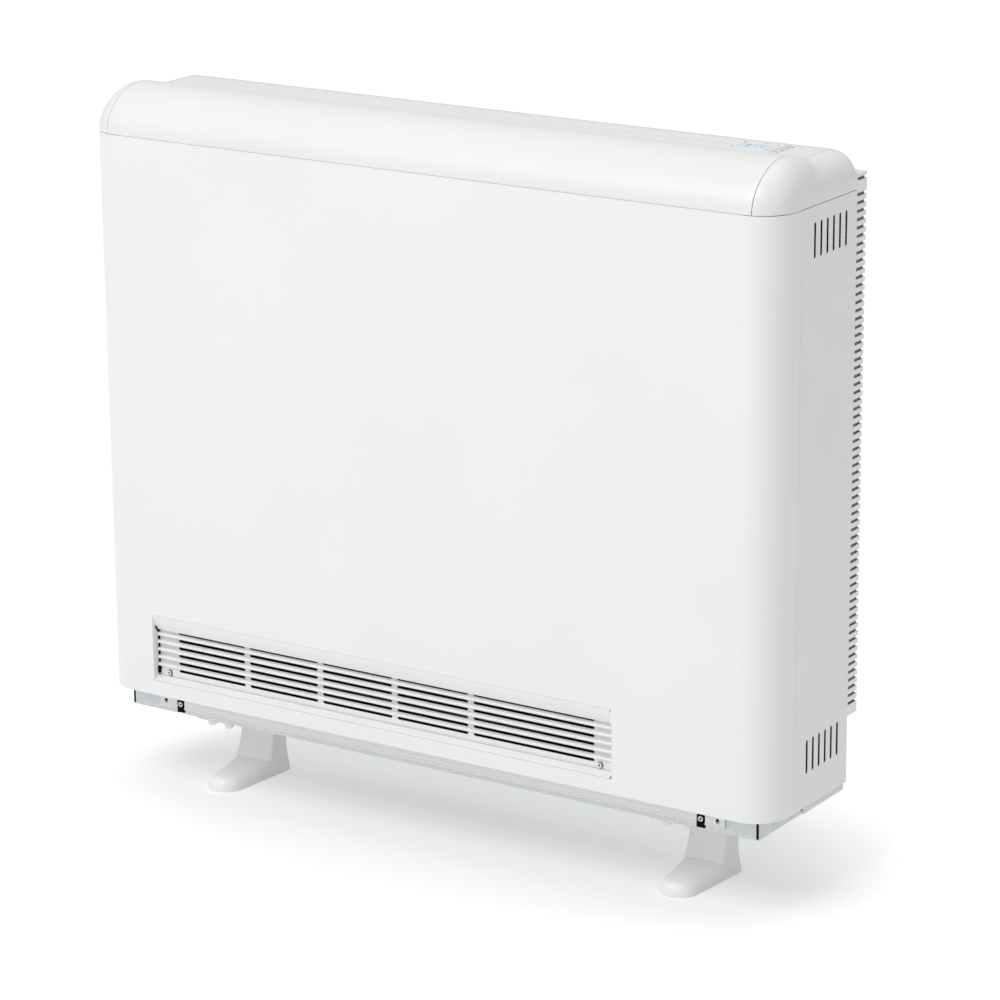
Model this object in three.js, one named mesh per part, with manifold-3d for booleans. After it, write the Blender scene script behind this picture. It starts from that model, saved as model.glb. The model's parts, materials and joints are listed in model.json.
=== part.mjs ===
// A fan-assisted storage heater: a brick core in an insulated case, inside painted steel covers.
// Millimetres. x runs to the right from the middle, y backwards from the front face and z up from
// the floor. The whole model is moved at the end, so that the origin is the middle of its base.
import * as THREE from "three";
import { mergeVertices } from "three/addons/utils/BufferGeometryUtils.js";
import Module from "manifold-3d";

const wasm = await Module();
wasm.setup();

// ---------------------------------------------------------------- driving dimensions

// Outer body
const bodyWidth = 790;
const bodyDepth = 150.5; // front face to the back edge of the side panels
const footHeight = 80; // floor to the underside of the base tray
const panelLift = 23; // base tray's underside to the lower edge of the painted panels
const panelHeight = 582.5; // lower edge of the panels to the lid's parting line
const cornerRadius = 36; // vertical front corners, seen from above
const seamDepth = 45; // front face to the seam between front and side panels
const sheet = 1.2; // painted and galvanised steel
const gap = 0.3; // clearance between pieces that touch
const flangeWidth = 12; // folded-in edges of the painted panels

// Lid
const lidGap = 0.6; // dark parting line above the panels
const lidWall = 2;
const rimLand = 1.5; // upright edge under the lid's curves
const noseRise = 42.4; // crest of the rounded nose above the land
const noseReach = 56; // front face to the crest
const noseFall = 61.6; // rear half-axis of the nose's section
const noseSquareness = 1.85; // exponent of the front half of the nose's section
const deckRise = 33.9; // flat rear deck above the land
const endRadius = 31; // rounding at both ends of the lid
const endSquareness = 2.37; // exponent of that rounding
const capWidth = 28; // end cap, from the side to its seam

// Air outlet in the front panel
const outletFromLeft = 65.5;
const outletLength = 551;
const outletLift = 15.7; // above the lower edge of the panel
const outletHeight = 70.3;
const browReach = 8; // how far the folded tabs go in
const browDrop = 16.8;
const sillRise = 4.2;
const browRelief = 3; // tab's right end to the side of the opening
const revealDepth = 9.5;

// Outlet grille
const grilleSetback = 10; // front face to the grille's flat ground
const grilleWall = 1.4;
const ridgeHeight = 3.6;
const ridgeHalf = 2.1;
const slotRows = 6;
const slotPitch = 8.18;
const slotWidth = 2.8;
const firstSlotLift = 27.2; // above the lower edge of the panel
const fieldStart = 25.7; // left side of the opening to the first field of slots
const fieldLength = 84;
const fieldWeb = 6.3;
const shortFields = 4;
const lastFieldLength = 139;
const endNotch = 1.3; // black gaps beside the reveal, at the grille's left end
const grilleScrewInset = 13.5; // left side of the opening to the left screw
const grilleScrewInsetRight = 18.5;
const grilleScrewLift = 8; // above the lower edge of the opening

// Side panels and the brackets that carry them
const ventCount = 6;
const ventPitch = 12;
const ventWidth = 3.7;
const ventLength = 34;
const firstVentDepth = 70.2;
const lowVentLift = 50.3; // lower edge of the panel to the middle of the low vents
const highVentDrop = 32; // parting line down to the middle of the high vents
const bracketInset = 2; // side face to the bracket's outer face
const bracketDrop = 8; // bracket's lower edge below the panel
const bracketHeight = 30;
const bracketStart = 69; // front face to the bracket

// Base tray and the strip in front of it
const trayInset = 23;
const trayFront = 19.5;
const trayLip = 20;
const cornerSlit = 2.2;
const stripInset = 58.5;
const stripHeight = 30;
const stripLift = 5.5; // above the tray's underside
const hem = 0.8;
const hemHeight = 1.6;
const stripScrewInset = 85;
const stripScrewLift = 5; // strip's lower edge to its screws
const stripHoleLift = 1; // holes above the screws
const stripHoleInset = 66.4;
const stripHoleRadius = 2.4;
const screwNotch = 9.2;
const notchHeight = 9.3;
const tongueLeft = 3.6; // tray's tongue that holds a strip screw, left of the screw
const tongueRight = 1.7;
const tongueDrop = 3.4; // below the screw
const intakeSlots = 9;
const intakeSlotWidth = 6;
const intakeSlotPitch = 30;
const intakeSlotLength = 58;

// Rear grille
const rearDepth = 21;
const rearInset = 1;
const rearLift = 65.7; // above the lower edge of the panels
const rearTopLift = 14.7; // above the parting line
const louvreRows = 64;
const louvrePitch = 7.92;
const louvreWidth = 3;
const firstLouvreLift = 12.5; // above the grille's lower edge
const topLouvreDrop = 5.1; // the single louvre's middle below the grille's upper edge
const louvreWrap = 2.4; // how far a louvre goes round the rear corner
const rearFields = 4;
const rearFieldLength = 130;
const rearFieldWeb = 40;
const rearFieldStep = 8; // louvre rows from one row of the rear fields to the next

// Feet: an upright that spreads at the floor, and a loaf-shaped toe in front of it
const footFromSide = 122.6; // side face to the foot's middle
const footHeel = 122;
const uprightHalf = 21;
const uprightRound = 3.5; // vertical corners
const heelFlare = 5; // how far each side spreads at the floor
const flareHeight = 13; // height at which half of that spread is gone
const kneeHeight = 17.7;
const kneeDepth = 87.9;
// The upright's front: height and distance from the front face
const uprightFront = [
  [0, 104.5],
  [9, 96],
  [kneeHeight, kneeDepth],
  [22, 91.2],
  [30, 94.3],
  [40, 97.3],
  [55, 99.3],
  [footHeight - gap, 100.5],
];
const toeTip = 24.3; // front face to the tip of the toe
const toeHalf = 19.6; // half-width behind the round tip
const toeRoundLength = 20; // the tip's rounding, seen from above
const toeSpread = 0.09; // how much each side spreads towards the heel, per unit of depth
const toeRear = 108;
const toeNoseLength = 12; // the tip's rounding, seen from the side
// The toe's top: distance from the front face and height, behind the round tip
const toeTop = [
  [toeTip, 13.8],
  [50, 14],
  [64, 14.6],
  [74, 15.6],
  [82, 16.8],
  [kneeDepth + 1, 18.2],
  [toeRear, 18.2],
];
// Exponent of the toe's section: distance from the front face and exponent
const toeSquareness = [
  [toeTip, 2.6],
  [kneeDepth, 4.5],
  [toeRear, 2.5],
];
const footPlate = 3;
const footPlateFront = 24;
const footPlateRear = 6; // heel to the rear edge of the plate
const lugRadius = 5;
const lugOffset = 1.5; // the two lugs' middle to the right of the foot's
const lugFromCentre = 10.6;
const lugDepth = 34.5;
const lugThickness = 4;
const lugDrop = 3.2; // plate's underside to the middle of a lug

// Controls in the deck
const displayFromRight = 94.8; // right side to the display's middle
const displayFromRear = 24; // back edge to the display's middle
const displayWidth = 31;
const displayDepth = 21;
const displayInset = 0.2; // display's face below the deck
const keyFromRight = 65.6;
const firstKeyFromRear = 41.5;
const keyPitch = 9.3;
const keyCount = 4;
const keyWidth = 9;
const keyDepth = 5.4;
const keyProud = 0.6;
const keyTravel = 0.8;
const keyCollar = 1.2;
const boardDrop = 7; // deck's underside to the board
const boardThickness = 1.6;
const boardMargin = 16;
const boardClearance = 2; // lid's rear wall to the board
const postRadius = 2.6;

// Core, insulation and inner case
const caseFrontDepth = 22;
const frontInsulation = 26.5;
const rearInsulation = 25.2;
const sideInsulation = 38;
const baseInsulation = 24.7;
const topInsulation = 32;
const shelfLift = 97; // lower edge of the panels to the top of the core shelf
const caseFlange = 12;
const brickColumns = 3;
const brickCourses = 4;
const elementRadius = 4;
const grooveRadius = 4.5;
const elementSpread = 24; // between the two legs of a hairpin
const elementTail = 26; // legs past the core, towards the terminals
const airChannelWidth = 10;
const airChannelLength = 60;
const airChannelShares = [0.25, 0.75]; // places along a brick
const elementClearance = 1; // hairpin's bend to the end slab

// Fan, duct and flap
const fanFromRear = 50.5; // back edge to the fan's axis
const fanLift = 32; // above the lower edge of the panels
const rotorRadius = 32;
const rotorLength = 440;
const rotorOffset = 16; // rotor's middle to the left of the outlet's middle
const rotorRim = 5;
const rotorBlades = 12;
const bladeThickness = 1.2;
const rotorDisc = 2;
const shaftRadius = 4;
const shaftClearance = 0.35;
const scrollRadius = 42;
const housingMargin = 10; // rotor's end to the housing's end plate
const motorRadius = 24;
const motorLength = 50;
const motorPad = 14;
const motorShaft = 10; // how far the rotor's stub goes into the motor
const saddleInset = 8; // ends of the motor to its saddle
const saddleHalf = 16.8;
const bearingRadius = 8;
const bearingLength = 9;
const bearingCollar = 3;
const tongueGap = 3; // housing's lower tongue to the rotor
const tongueDip = 4;
const ductClearance = 6.3; // duct's rear end to the rotor
const ductInset = 1; // duct's underside above the lower edge of the opening
const ductDrop = 3; // duct's top below the upper edge of the opening
const ductFlange = 8;
const flapLength = 300;
const flapReach = 25;
const flapThickness = 1.5;
const flapBarrel = 2.2;
const flapHingeDepth = 57;
const flapEar = 3;
const flapEarHalf = 5;
const airSlotInset = 5; // flap's ends and hinge to the slot that it covers
const airSlotOverlap = 3; // flap's front edge to the slot
const flapWell = 8; // room round the slot for the flap
const flapEndRoom = 2; // room beside the ears

// Electrical pieces
const cutoutRadius = 8;
const cutoutHeight = 9;
const cutoutFromRight = 95;
const cutoutDepth = 60; // front face to the cutout's middle
const cutoutTabHalf = 4;
const terminalPoles = 3;
const terminalWidth = 60;
const terminalDepth = 22;
const terminalHeight = 24;
const glandFromRight = 50;
const glandFromRear = 25.5;
const glandRadius = 9;
const glandBore = 4.5;
const glandFlange = 3;
const glandRise = 12; // gland's barrel above the tray's floor

// Fasteners
const screwHeadRadius = 3.25;
const screwCrownRadius = 2.8;
const screwHeadHeight = 1.9;
const screwShankRadius = 1.6;
const screwLength = 9;
const crossWidth = 0.9;
const crossLength = 3.6;
const crossDepth = 1;

// ---------------------------------------------------------------- derived places

const half = bodyWidth / 2;
const panelBottom = footHeight + panelLift;
const lidLine = panelBottom + panelHeight;
const lidBase = lidLine + lidGap;
const deckTop = lidBase + rimLand + deckRise;
const totalDepth = bodyDepth + rearDepth;
const displayX = half - displayFromRight;
const displayY = bodyDepth - displayFromRear;
const keyX = half - keyFromRight;
const firstKeyY = bodyDepth - firstKeyFromRear;
const trayHalf = half - trayInset;
const trayRear = bodyDepth - gap;
const trayFloor = footHeight + sheet;
const trayTop = footHeight + trayLip;
const outletLeft = outletFromLeft - half;
const outletRight = outletLeft + outletLength;
const outletBottom = panelBottom + outletLift;
const outletTop = outletBottom + outletHeight;
const grilleBack = grilleSetback + grilleWall;
const firstSlot = panelBottom + firstSlotLift;
const grilleScrewHeight = outletBottom + grilleScrewLift;
const shelfTop = panelBottom + shelfLift;
const caseTop = lidLine - 2 * sheet;
const coreFront = caseFrontDepth + sheet + gap + frontInsulation + gap;
const caseBack = trayRear - sheet - gap; // rear face of the case back
const coreRear = caseBack - sheet - gap - rearInsulation - gap;
const liningHalf = trayHalf - 2 * sheet - 2 * gap; // inside the folded edges of case front and back
const coreHalf = liningHalf - sideInsulation;
const coreBottom = shelfTop + gap + baseInsulation + gap;
const coreTop = caseTop - sheet - gap - topInsulation - gap;
const coreMiddle = (coreFront + coreRear) / 2;
const fanDepth = bodyDepth - fanFromRear;
const fanHeight = panelBottom + fanLift;
const rotorMiddle = (outletLeft + outletRight) / 2 - rotorOffset;
const rotorLeft = rotorMiddle - rotorLength / 2;
const rotorRight = rotorMiddle + rotorLength / 2;
const housingLeft = rotorLeft - housingMargin;
const housingRight = rotorRight + housingMargin;
const ductFront = grilleBack + gap;
const ductRear = fanDepth - rotorRadius - ductClearance;
const ductBottom = outletBottom + ductInset;
const ductTop = outletTop - ductDrop;
const motorLeft = housingRight + gap + motorPad;
const motorRight = motorLeft + motorLength;
const terminalX = (motorRight + liningHalf - sheet) / 2; // between the motor and the shelf's leg
const glandX = half - glandFromRight;
const glandY = bodyDepth - glandFromRear;
const boardTop = deckTop - lidWall - boardDrop;
const stripFront = trayFront - gap - sheet;
const stripBottom = footHeight + stripLift;
const stripScrewHeight = stripBottom + stripScrewLift;
const rearBottom = panelBottom + rearLift;
const rearTop = lidLine + rearTopLift;
const rearHalf = half - rearInset;
const rearFront = bodyDepth + gap;
const arcSteps = 10;
const roundSides = 16;
const screwSides = 10;
const holeSides = 8;
const stripHoleSides = 12;
const past = 1; // how far a cutting body goes beyond what it cuts

// ---------------------------------------------------------------- solids from three.js geometry

const mergeDistance = 1e-4;

function solidOf(geometry) {
  const bare = geometry.clone();
  bare.deleteAttribute("normal");
  bare.deleteAttribute("uv");
  const merged = mergeVertices(bare, mergeDistance);
  const vertProperties = merged.attributes.position.array;
  const triVerts = new Uint32Array(merged.index.array);
  return new wasm.Manifold(new wasm.Mesh({ numProp: 3, vertProperties, triVerts }));
}

function geometryOf(solid) {
  const mesh = solid.getMesh();
  const geometry = new THREE.BufferGeometry();
  geometry.setAttribute("position", new THREE.BufferAttribute(mesh.vertProperties, 3));
  geometry.setIndex(new THREE.BufferAttribute(mesh.triVerts, 1));
  const flat = geometry.toNonIndexed();
  flat.computeVertexNormals();
  return flat;
}

const join = (...solids) => wasm.Manifold.union(solids);
const cut = (solid, ...tools) => solid.subtract(join(...tools));

function box(x0, x1, y0, y1, z0, z1) {
  const geometry = new THREE.BoxGeometry(x1 - x0, y1 - y0, z1 - z0);
  geometry.translate((x0 + x1) / 2, (y0 + y1) / 2, (z0 + z1) / 2);
  return solidOf(geometry);
}

function prism(points, length) {
  const shape = new THREE.Shape(points.map(([u, v]) => new THREE.Vector2(u, v)));
  return new THREE.ExtrudeGeometry(shape, { depth: length, bevelEnabled: false });
}

const unitX = new THREE.Vector3(1, 0, 0);
const unitY = new THREE.Vector3(0, 1, 0);
const unitZ = new THREE.Vector3(0, 0, 1);

// An outline of [y, z] points, drawn out along x.
function alongX(points, x0, x1) {
  const turned = prism(points, x1 - x0).applyMatrix4(new THREE.Matrix4().makeBasis(unitY, unitZ, unitX));
  return solidOf(turned.translate(x0, 0, 0));
}

// An outline of [x, z] points, drawn out along y.
function alongY(points, y0, y1) {
  const back = unitY.clone().negate();
  const turned = prism(points, y1 - y0).applyMatrix4(new THREE.Matrix4().makeBasis(unitX, unitZ, back));
  return solidOf(turned.translate(0, y1, 0));
}

// An outline of [x, y] points, drawn out along z.
function alongZ(points, z0, z1) {
  return solidOf(prism(points, z1 - z0).translate(0, 0, z0));
}

// A closed skin through rings of [x, y, z] points that all have the same number of points.
function loft(rings) {
  const count = rings[0].length;
  const positions = rings.flat(2);
  const index = [];
  for (let r = 0; r + 1 < rings.length; r += 1) {
    for (let i = 0; i < count; i += 1) {
      const a = r * count + i;
      const b = r * count + ((i + 1) % count);
      index.push(a, b, b + count, a, b + count, a + count);
    }
  }
  const last = (rings.length - 1) * count;
  for (let i = 1; i + 1 < count; i += 1) {
    index.push(0, i + 1, i, last, last + i, last + i + 1);
  }
  const geometry = new THREE.BufferGeometry();
  geometry.setAttribute("position", new THREE.Float32BufferAttribute(positions, 3));
  geometry.setIndex(index);
  return solidOf(geometry);
}

// Points of an arc about [u, v], from one angle to another in degrees.
function arc(u, v, radius, from, to, steps = arcSteps) {
  const points = [];
  for (let i = 0; i <= steps; i += 1) {
    const angle = THREE.MathUtils.degToRad(from + ((to - from) * i) / steps);
    points.push([u + radius * Math.cos(angle), v + radius * Math.sin(angle)]);
  }
  return points;
}

const circle = (u, v, radius, sides = roundSides) => arc(u, v, radius, 0, 360 - 360 / sides, sides - 1);

// A slot with round ends, lying along u, or standing along v.
function slotOutline(u, v, length, width, standing = false) {
  const radius = width / 2;
  const reach = length / 2 - radius;
  const endSteps = 3;
  const start = standing ? 0 : -90;
  const du = standing ? 0 : reach;
  const dv = standing ? reach : 0;
  return [
    ...arc(u + du, v + dv, radius, start, start + 180, endSteps),
    ...arc(u - du, v - dv, radius, start + 180, start + 360, endSteps),
  ];
}

const rodX = (y, z, radius, x0, x1, sides) => alongX(circle(y, z, radius, sides), x0, x1);
const rodY = (x, z, radius, y0, y1, sides) => alongY(circle(x, z, radius, sides), y0, y1);
const rodZ = (x, y, radius, z0, z1, sides) => alongZ(circle(x, y, radius, sides), z0, z1);

// ---------------------------------------------------------------- materials

const paint = (color, roughness, metalness = 0) =>
  new THREE.MeshStandardMaterial({ color, roughness, metalness });

const whitePaint = paint(0xefeff0, 0.35);
const sidePaint = paint(0xe6e3e3, 0.4);
const lidPlastic = paint(0xf0f1f1, 0.25);
const stripPaint = paint(0xdcdad9, 0.5);
const galvanised = paint(0xb9c2c6, 0.4, 0.8);
const footPlastic = paint(0xd9d9d7, 0.5);
const screwSteel = paint(0xc8c8c6, 0.3, 0.9);
const displayGlass = paint(0xd7e8f8, 0.1);
const keyRubber = paint(0xc9c9c9, 0.6);
const boardGreen = paint(0x2f6b45, 0.6);
const insulationGrey = paint(0xd2cdc2, 0.95);
const brickBrown = paint(0x5a4a42, 0.9);
const elementSteel = paint(0x6f6a66, 0.5, 0.7);
const fanSteel = paint(0xa8adb0, 0.4, 0.8);
const motorBlack = paint(0x2e2e30, 0.5, 0.3);
const bearingBrass = paint(0xb08d4a, 0.4, 0.8);
const blackPlastic = paint(0x1f1f20, 0.55);

// ---------------------------------------------------------------- the group

const heater = new THREE.Group();
heater.name = "storage_heater";
heater.position.y = -totalDepth / 2;

function add(name, solid, material) {
  const mesh = new THREE.Mesh(geometryOf(solid), material);
  mesh.name = name;
  heater.add(mesh);
}

const sides = [
  ["left", -1],
  ["right", 1],
];

// A body given for the right side, with x0 < x1, placed on either side.
function sideBox(side, x0, x1, y0, y1, z0, z1) {
  return side > 0 ? box(x0, x1, y0, y1, z0, z1) : box(-x1, -x0, y0, y1, z0, z1);
}

// ---------------------------------------------------------------- front panel

// The front panel's outline from above, from its left rear edge round to its right rear edge.
function panelOutline(inset) {
  const radius = cornerRadius - inset;
  return [
    [-half + inset, seamDepth],
    ...arc(-half + cornerRadius, cornerRadius, radius, 180, 270),
    ...arc(half - cornerRadius, cornerRadius, radius, 270, 360),
    [half - inset, seamDepth],
  ];
}

function panelRing(width, z0, z1) {
  return alongZ([...panelOutline(0), ...panelOutline(width).reverse()], z0, z1);
}

// A folded tab: a strip of sheet from [0, z] on the front face inwards to [reach, z + rise].
function foldedTab(z, rise, x0, x1) {
  const length = Math.hypot(browReach, rise);
  const away = rise < 0 ? 1 : -1;
  const back = (Math.abs(rise) / length) * sheet;
  const up = (browReach / length) * sheet * away;
  const points = [
    [0, z],
    [browReach, z + rise],
    [browReach + back, z + rise + up],
    [back, z + up],
  ];
  return alongX(away > 0 ? points : points.reverse(), x0, x1);
}

function frontPanel() {
  const skin = panelRing(sheet, panelBottom, lidLine);
  const topFlange = panelRing(flangeWidth, lidLine - sheet, lidLine);
  const bottomFlange = panelRing(flangeWidth, panelBottom, panelBottom + sheet);
  const seamFlanges = sides.map(([, side]) =>
    sideBox(side, trayHalf + gap, half - sheet / 2, seamDepth - sheet, seamDepth, panelBottom, lidLine));
  const opening = box(outletLeft, outletRight, -past, sheet + past, outletBottom, outletTop);
  const panel = cut(join(skin, topFlange, bottomFlange, ...seamFlanges), opening);
  const brow = foldedTab(outletTop, -browDrop, outletLeft - sheet / 2, outletRight - browRelief);
  const sill = foldedTab(outletBottom, sillRise, outletLeft - sheet / 2, outletRight - browRelief);
  const cheeks = [outletLeft - sheet, outletRight].map((x) =>
    box(x, x + sheet, sheet / 2, revealDepth, outletBottom - sheet, outletTop + sheet));
  return join(panel, brow, sill, ...cheeks);
}
add("front_panel", frontPanel(), whitePaint);

// ---------------------------------------------------------------- outlet grille

function fieldSpans() {
  const spans = [];
  let start = outletLeft + fieldStart;
  for (let i = 0; i <= shortFields; i += 1) {
    const length = i < shortFields ? fieldLength : lastFieldLength;
    spans.push([start, start + length]);
    start += length + fieldWeb;
  }
  return spans;
}

const slotHeight = (row) => firstSlot + row * slotPitch;

function outletGrille() {
  const left = outletLeft + gap;
  const right = outletRight - gap;
  const bottom = outletBottom + sillRise / 2;
  const top = slotHeight(slotRows - 1) + slotPitch;
  const profile = [[grilleBack, top], [grilleBack, bottom], [grilleSetback, bottom]];
  for (let row = 0; row + 1 < slotRows; row += 1) {
    const middle = slotHeight(row) + slotPitch / 2;
    const ridge = arc(0, 0, 1, -90, 90, 6);
    ridge.forEach(([u, v]) => profile.push([grilleSetback - u * ridgeHeight, middle + v * ridgeHalf]));
  }
  profile.push([grilleSetback, top]);
  const plate = alongX(profile.reverse(), left, right);
  const slots = [];
  for (let row = 0; row < slotRows; row += 1) {
    for (const [start, end] of fieldSpans()) {
      const outline = slotOutline((start + end) / 2, slotHeight(row), end - start, slotWidth);
      slots.push(alongY(outline, grilleSetback - past, grilleBack + past));
    }
  }
  const valleys = [];
  for (let row = 0; row < slotRows; row += 1) {
    const reach = slotPitch / 2 - ridgeHalf;
    const wide = row === 0 ? 2 * endNotch : endNotch;
    const low = slotHeight(row) - reach;
    const high = row + 1 < slotRows ? slotHeight(row) + reach : top + past;
    valleys.push(box(left - past, left + wide, grilleSetback - past, grilleBack + past, low, high));
  }
  const screwHoles = grilleScrewPlaces().map((x) =>
    rodY(x, grilleScrewHeight, screwShankRadius + gap, grilleSetback - past, grilleBack + past, holeSides));
  return cut(plate, ...slots, ...valleys, ...screwHoles);
}

function grilleScrewPlaces() {
  return [outletLeft + grilleScrewInset, outletRight - grilleScrewInsetRight];
}
add("outlet_grille", outletGrille(), whitePaint);

// A cross-head screw that goes in along y, with its head's seat at y.
function screw(x, y, z) {
  const front = y - screwHeadHeight;
  const head = rodY(x, z, screwHeadRadius, front + screwHeadHeight / 2, y, screwSides);
  const crown = rodY(x, z, screwCrownRadius, front, front + screwHeadHeight / 2, screwSides);
  const shank = rodY(x, z, screwShankRadius, y - sheet / 2, y + screwLength, holeSides);
  const long = crossLength / 2;
  const thin = crossWidth / 2;
  const recess = [[long, thin], [thin, long]].map(([a, b]) =>
    box(x - a, x + a, front - past, front + crossDepth, z - b, z + b));
  return cut(join(head, crown, shank), ...recess);
}
sides.forEach(([name], i) => {
  const x = grilleScrewPlaces()[i];
  add("grille_screw_" + name, screw(x, grilleSetback - gap, grilleScrewHeight), screwSteel);
});

// The duct behind the grille, a rectangular tube whose front flange takes the screws.
function outletDuct() {
  const left = outletLeft + endNotch * 2 + sheet;
  const right = outletRight - sheet;
  const tube = box(left, right, ductFront, ductRear, ductBottom, ductTop);
  const inside = box(left + sheet, right - sheet, ductFront + sheet, ductRear + past,
    ductBottom + sheet, ductTop - sheet);
  const mouth = box(left + ductFlange, right - ductFlange, ductFront - past, ductFront + 2 * sheet,
    ductBottom + sheet + ductFlange, ductTop - sheet - ductFlange);
  const holes = grilleScrewPlaces().map((x) =>
    rodY(x, grilleScrewHeight, screwShankRadius + gap, ductFront - past, ductFront + 2 * sheet, holeSides));
  return cut(tube, inside, mouth, ...holes);
}
add("outlet_duct", outletDuct(), galvanised);

// ---------------------------------------------------------------- side panels and brackets

function sidePanel(side) {
  const front = seamDepth + gap;
  const inner = trayHalf + gap;
  const outer = half - sheet / 2;
  const skin = sideBox(side, half - sheet, half, front, bodyDepth, panelBottom, lidLine);
  const frontFlange = sideBox(side, inner, outer, front, front + sheet, panelBottom, lidLine);
  const rearFlange = sideBox(side, inner, outer, bodyDepth - sheet, bodyDepth, panelBottom, lidLine);
  const topFlange = sideBox(side, inner, outer, front, bodyDepth, lidLine - sheet, lidLine);
  const vents = [];
  for (let i = 0; i < ventCount; i += 1) {
    for (const z of [panelBottom + lowVentLift, lidLine - highVentDrop]) {
      const outline = slotOutline(firstVentDepth + i * ventPitch, z, ventLength, ventWidth, true);
      const x0 = side > 0 ? half - sheet - past : -half - past;
      vents.push(alongX(outline, x0, x0 + sheet + 2 * past));
    }
  }
  return cut(join(skin, frontFlange, rearFlange, topFlange), ...vents);
}

// A folded bracket from the tray's side out to the side panel.
function sideBracket(side) {
  const outer = half - bracketInset;
  const bottom = panelBottom - bracketDrop;
  const top = bottom + bracketHeight;
  const inner = trayHalf + gap;
  const web = trayTop - sheet;
  const front = bracketStart;
  const rear = bodyDepth - sheet - gap;
  return join(
    sideBox(side, outer - sheet, outer, front, rear, bottom, top),
    sideBox(side, inner, outer - sheet / 2, front, rear, web - sheet, web),
    sideBox(side, inner, inner + sheet, front, rear, bottom, web),
  );
}
for (const [name, side] of sides) {
  add("side_panel_" + name, sidePanel(side), sidePaint);
  add("side_bracket_" + name, sideBracket(side), galvanised);
}

// ---------------------------------------------------------------- lid

// Stations along x for one end of the lid: each has its x, its plan depth and its share of the rise.
function lidStations(inset) {
  const edge = half - inset;
  const radius = cornerRadius - inset;
  const reach = endRadius - inset;
  const steps = 9;
  const leastShare = 0.03;
  const start = Math.max(radius, reach);
  const stations = [{ x: edge - start - 2 * past, share: 1 }, { x: edge - start - past, share: 1 }];
  for (let i = 0; i <= steps; i += 1) {
    const v = Math.sin((i / steps) * (Math.PI / 2));
    const share = Math.max(leastShare, (1 - v ** endSquareness) ** (1 / endSquareness));
    stations.push({ x: edge - reach + reach * v, share });
  }
  for (const station of stations) {
    const over = Math.max(0, station.x - (edge - radius));
    station.front = inset + radius - Math.sqrt(Math.max(0, radius ** 2 - over ** 2));
  }
  return stations;
}

function bothEnds(stations) {
  const mirrored = stations.map((s) => ({ ...s, x: -s.x })).reverse();
  return [...mirrored, ...stations];
}

// The lid's body: a rounded nose joined to a flat deck, both rounded off at the two ends.
function lidBody(inset, base) {
  const rise = noseRise - inset;
  const fall = noseFall - inset;
  const level = lidBase + rimLand;
  const frontSteps = 9;
  const rearSteps = 5;
  const nose = bothEnds(lidStations(inset)).map(({ x, share, front }) => {
    const ring = [[x, front, base]];
    const reach = noseReach - front;
    const power = 2 / noseSquareness;
    const rearPoints = arc(0, 0, 1, 90, 0, rearSteps).slice(1);
    arc(0, 0, 1, 180, 90, frontSteps).forEach(([u, v]) => {
      const across = Math.abs(u) ** power;
      const along = Math.abs(v) ** power;
      ring.push([x, noseReach - reach * across, level + rise * share * along]);
    });
    rearPoints.forEach(([u, v]) => {
      ring.push([x, noseReach + fall * share * Math.max(0, u), level + rise * share * Math.max(0, v)]);
    });
    ring.push([x, noseReach + fall * share, base]);
    return ring.reverse();
  });
  const deck = bothEnds(lidStations(inset)).map(({ x, share }) => {
    const top = level + (deckRise - inset) * share;
    const rear = bodyDepth - inset;
    return [[x, noseReach, base], [x, rear, base], [x, rear, top], [x, noseReach, top]];
  });
  return join(loft(nose), loft(deck));
}

const lidShell = lidBody(0, lidBase).subtract(lidBody(lidWall, lidBase - past));
const capSeam = half - capWidth;

// The control positions that the deck is cut for.
const keyPlaces = Array.from({ length: keyCount }, (_, i) => firstKeyY + i * keyPitch);

function boardSpan() {
  return {
    x0: displayX - displayWidth / 2 - boardMargin,
    x1: keyX + keyWidth / 2 + boardMargin,
    y0: firstKeyY - keyDepth - postRadius,
    y1: bodyDepth - lidWall - boardClearance,
  };
}

function boardPosts() {
  const { x0, x1, y0, y1 } = boardSpan();
  const inset = postRadius + boardThickness;
  const places = [[x0 + inset, y0 + inset], [x1 - inset, y0 + inset],
    [x0 + inset, y1 - inset], [x1 - inset, y1 - inset]];
  return places.map(([x, y]) => rodZ(x, y, postRadius, boardTop + gap, deckTop - lidWall / 2, 10));
}

function lidCover() {
  const low = lidBase - 2 * past;
  const high = lidBase + rimLand + noseRise + past;
  const middle = box(-capSeam + gap / 2, capSeam - gap / 2, -past, bodyDepth + past, low, high);
  const shell = join(lidShell.intersect(middle), ...boardPosts());
  const holeLow = deckTop - 2 * lidWall;
  const halfWidth = displayWidth / 2 + gap;
  const halfDepth = displayDepth / 2 + gap;
  const window = box(displayX - halfWidth, displayX + halfWidth, displayY - halfDepth, displayY + halfDepth,
    holeLow, deckTop + past);
  const keyHoles = keyPlaces.map((y) => box(keyX - keyWidth / 2 - gap, keyX + keyWidth / 2 + gap,
    y - keyDepth / 2 - gap, y + keyDepth / 2 + gap, holeLow, deckTop + past));
  return cut(shell, window, ...keyHoles);
}
add("lid_cover", lidCover(), lidPlastic);

for (const [name, side] of sides) {
  const low = lidBase - 2 * past;
  const high = lidBase + rimLand + noseRise + past;
  const end = sideBox(side, capSeam + gap / 2, half + past, -past, bodyDepth + past, low, high);
  add("lid_end_cap_" + name, lidShell.intersect(end), lidPlastic);
}

// ---------------------------------------------------------------- controls

function displayWindow() {
  const wide = displayWidth / 2;
  const deep = displayDepth / 2;
  return box(displayX - wide, displayX + wide, displayY - deep, displayY + deep,
    boardTop + gap, deckTop - displayInset);
}
add("display_window", displayWindow(), displayGlass);

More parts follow.
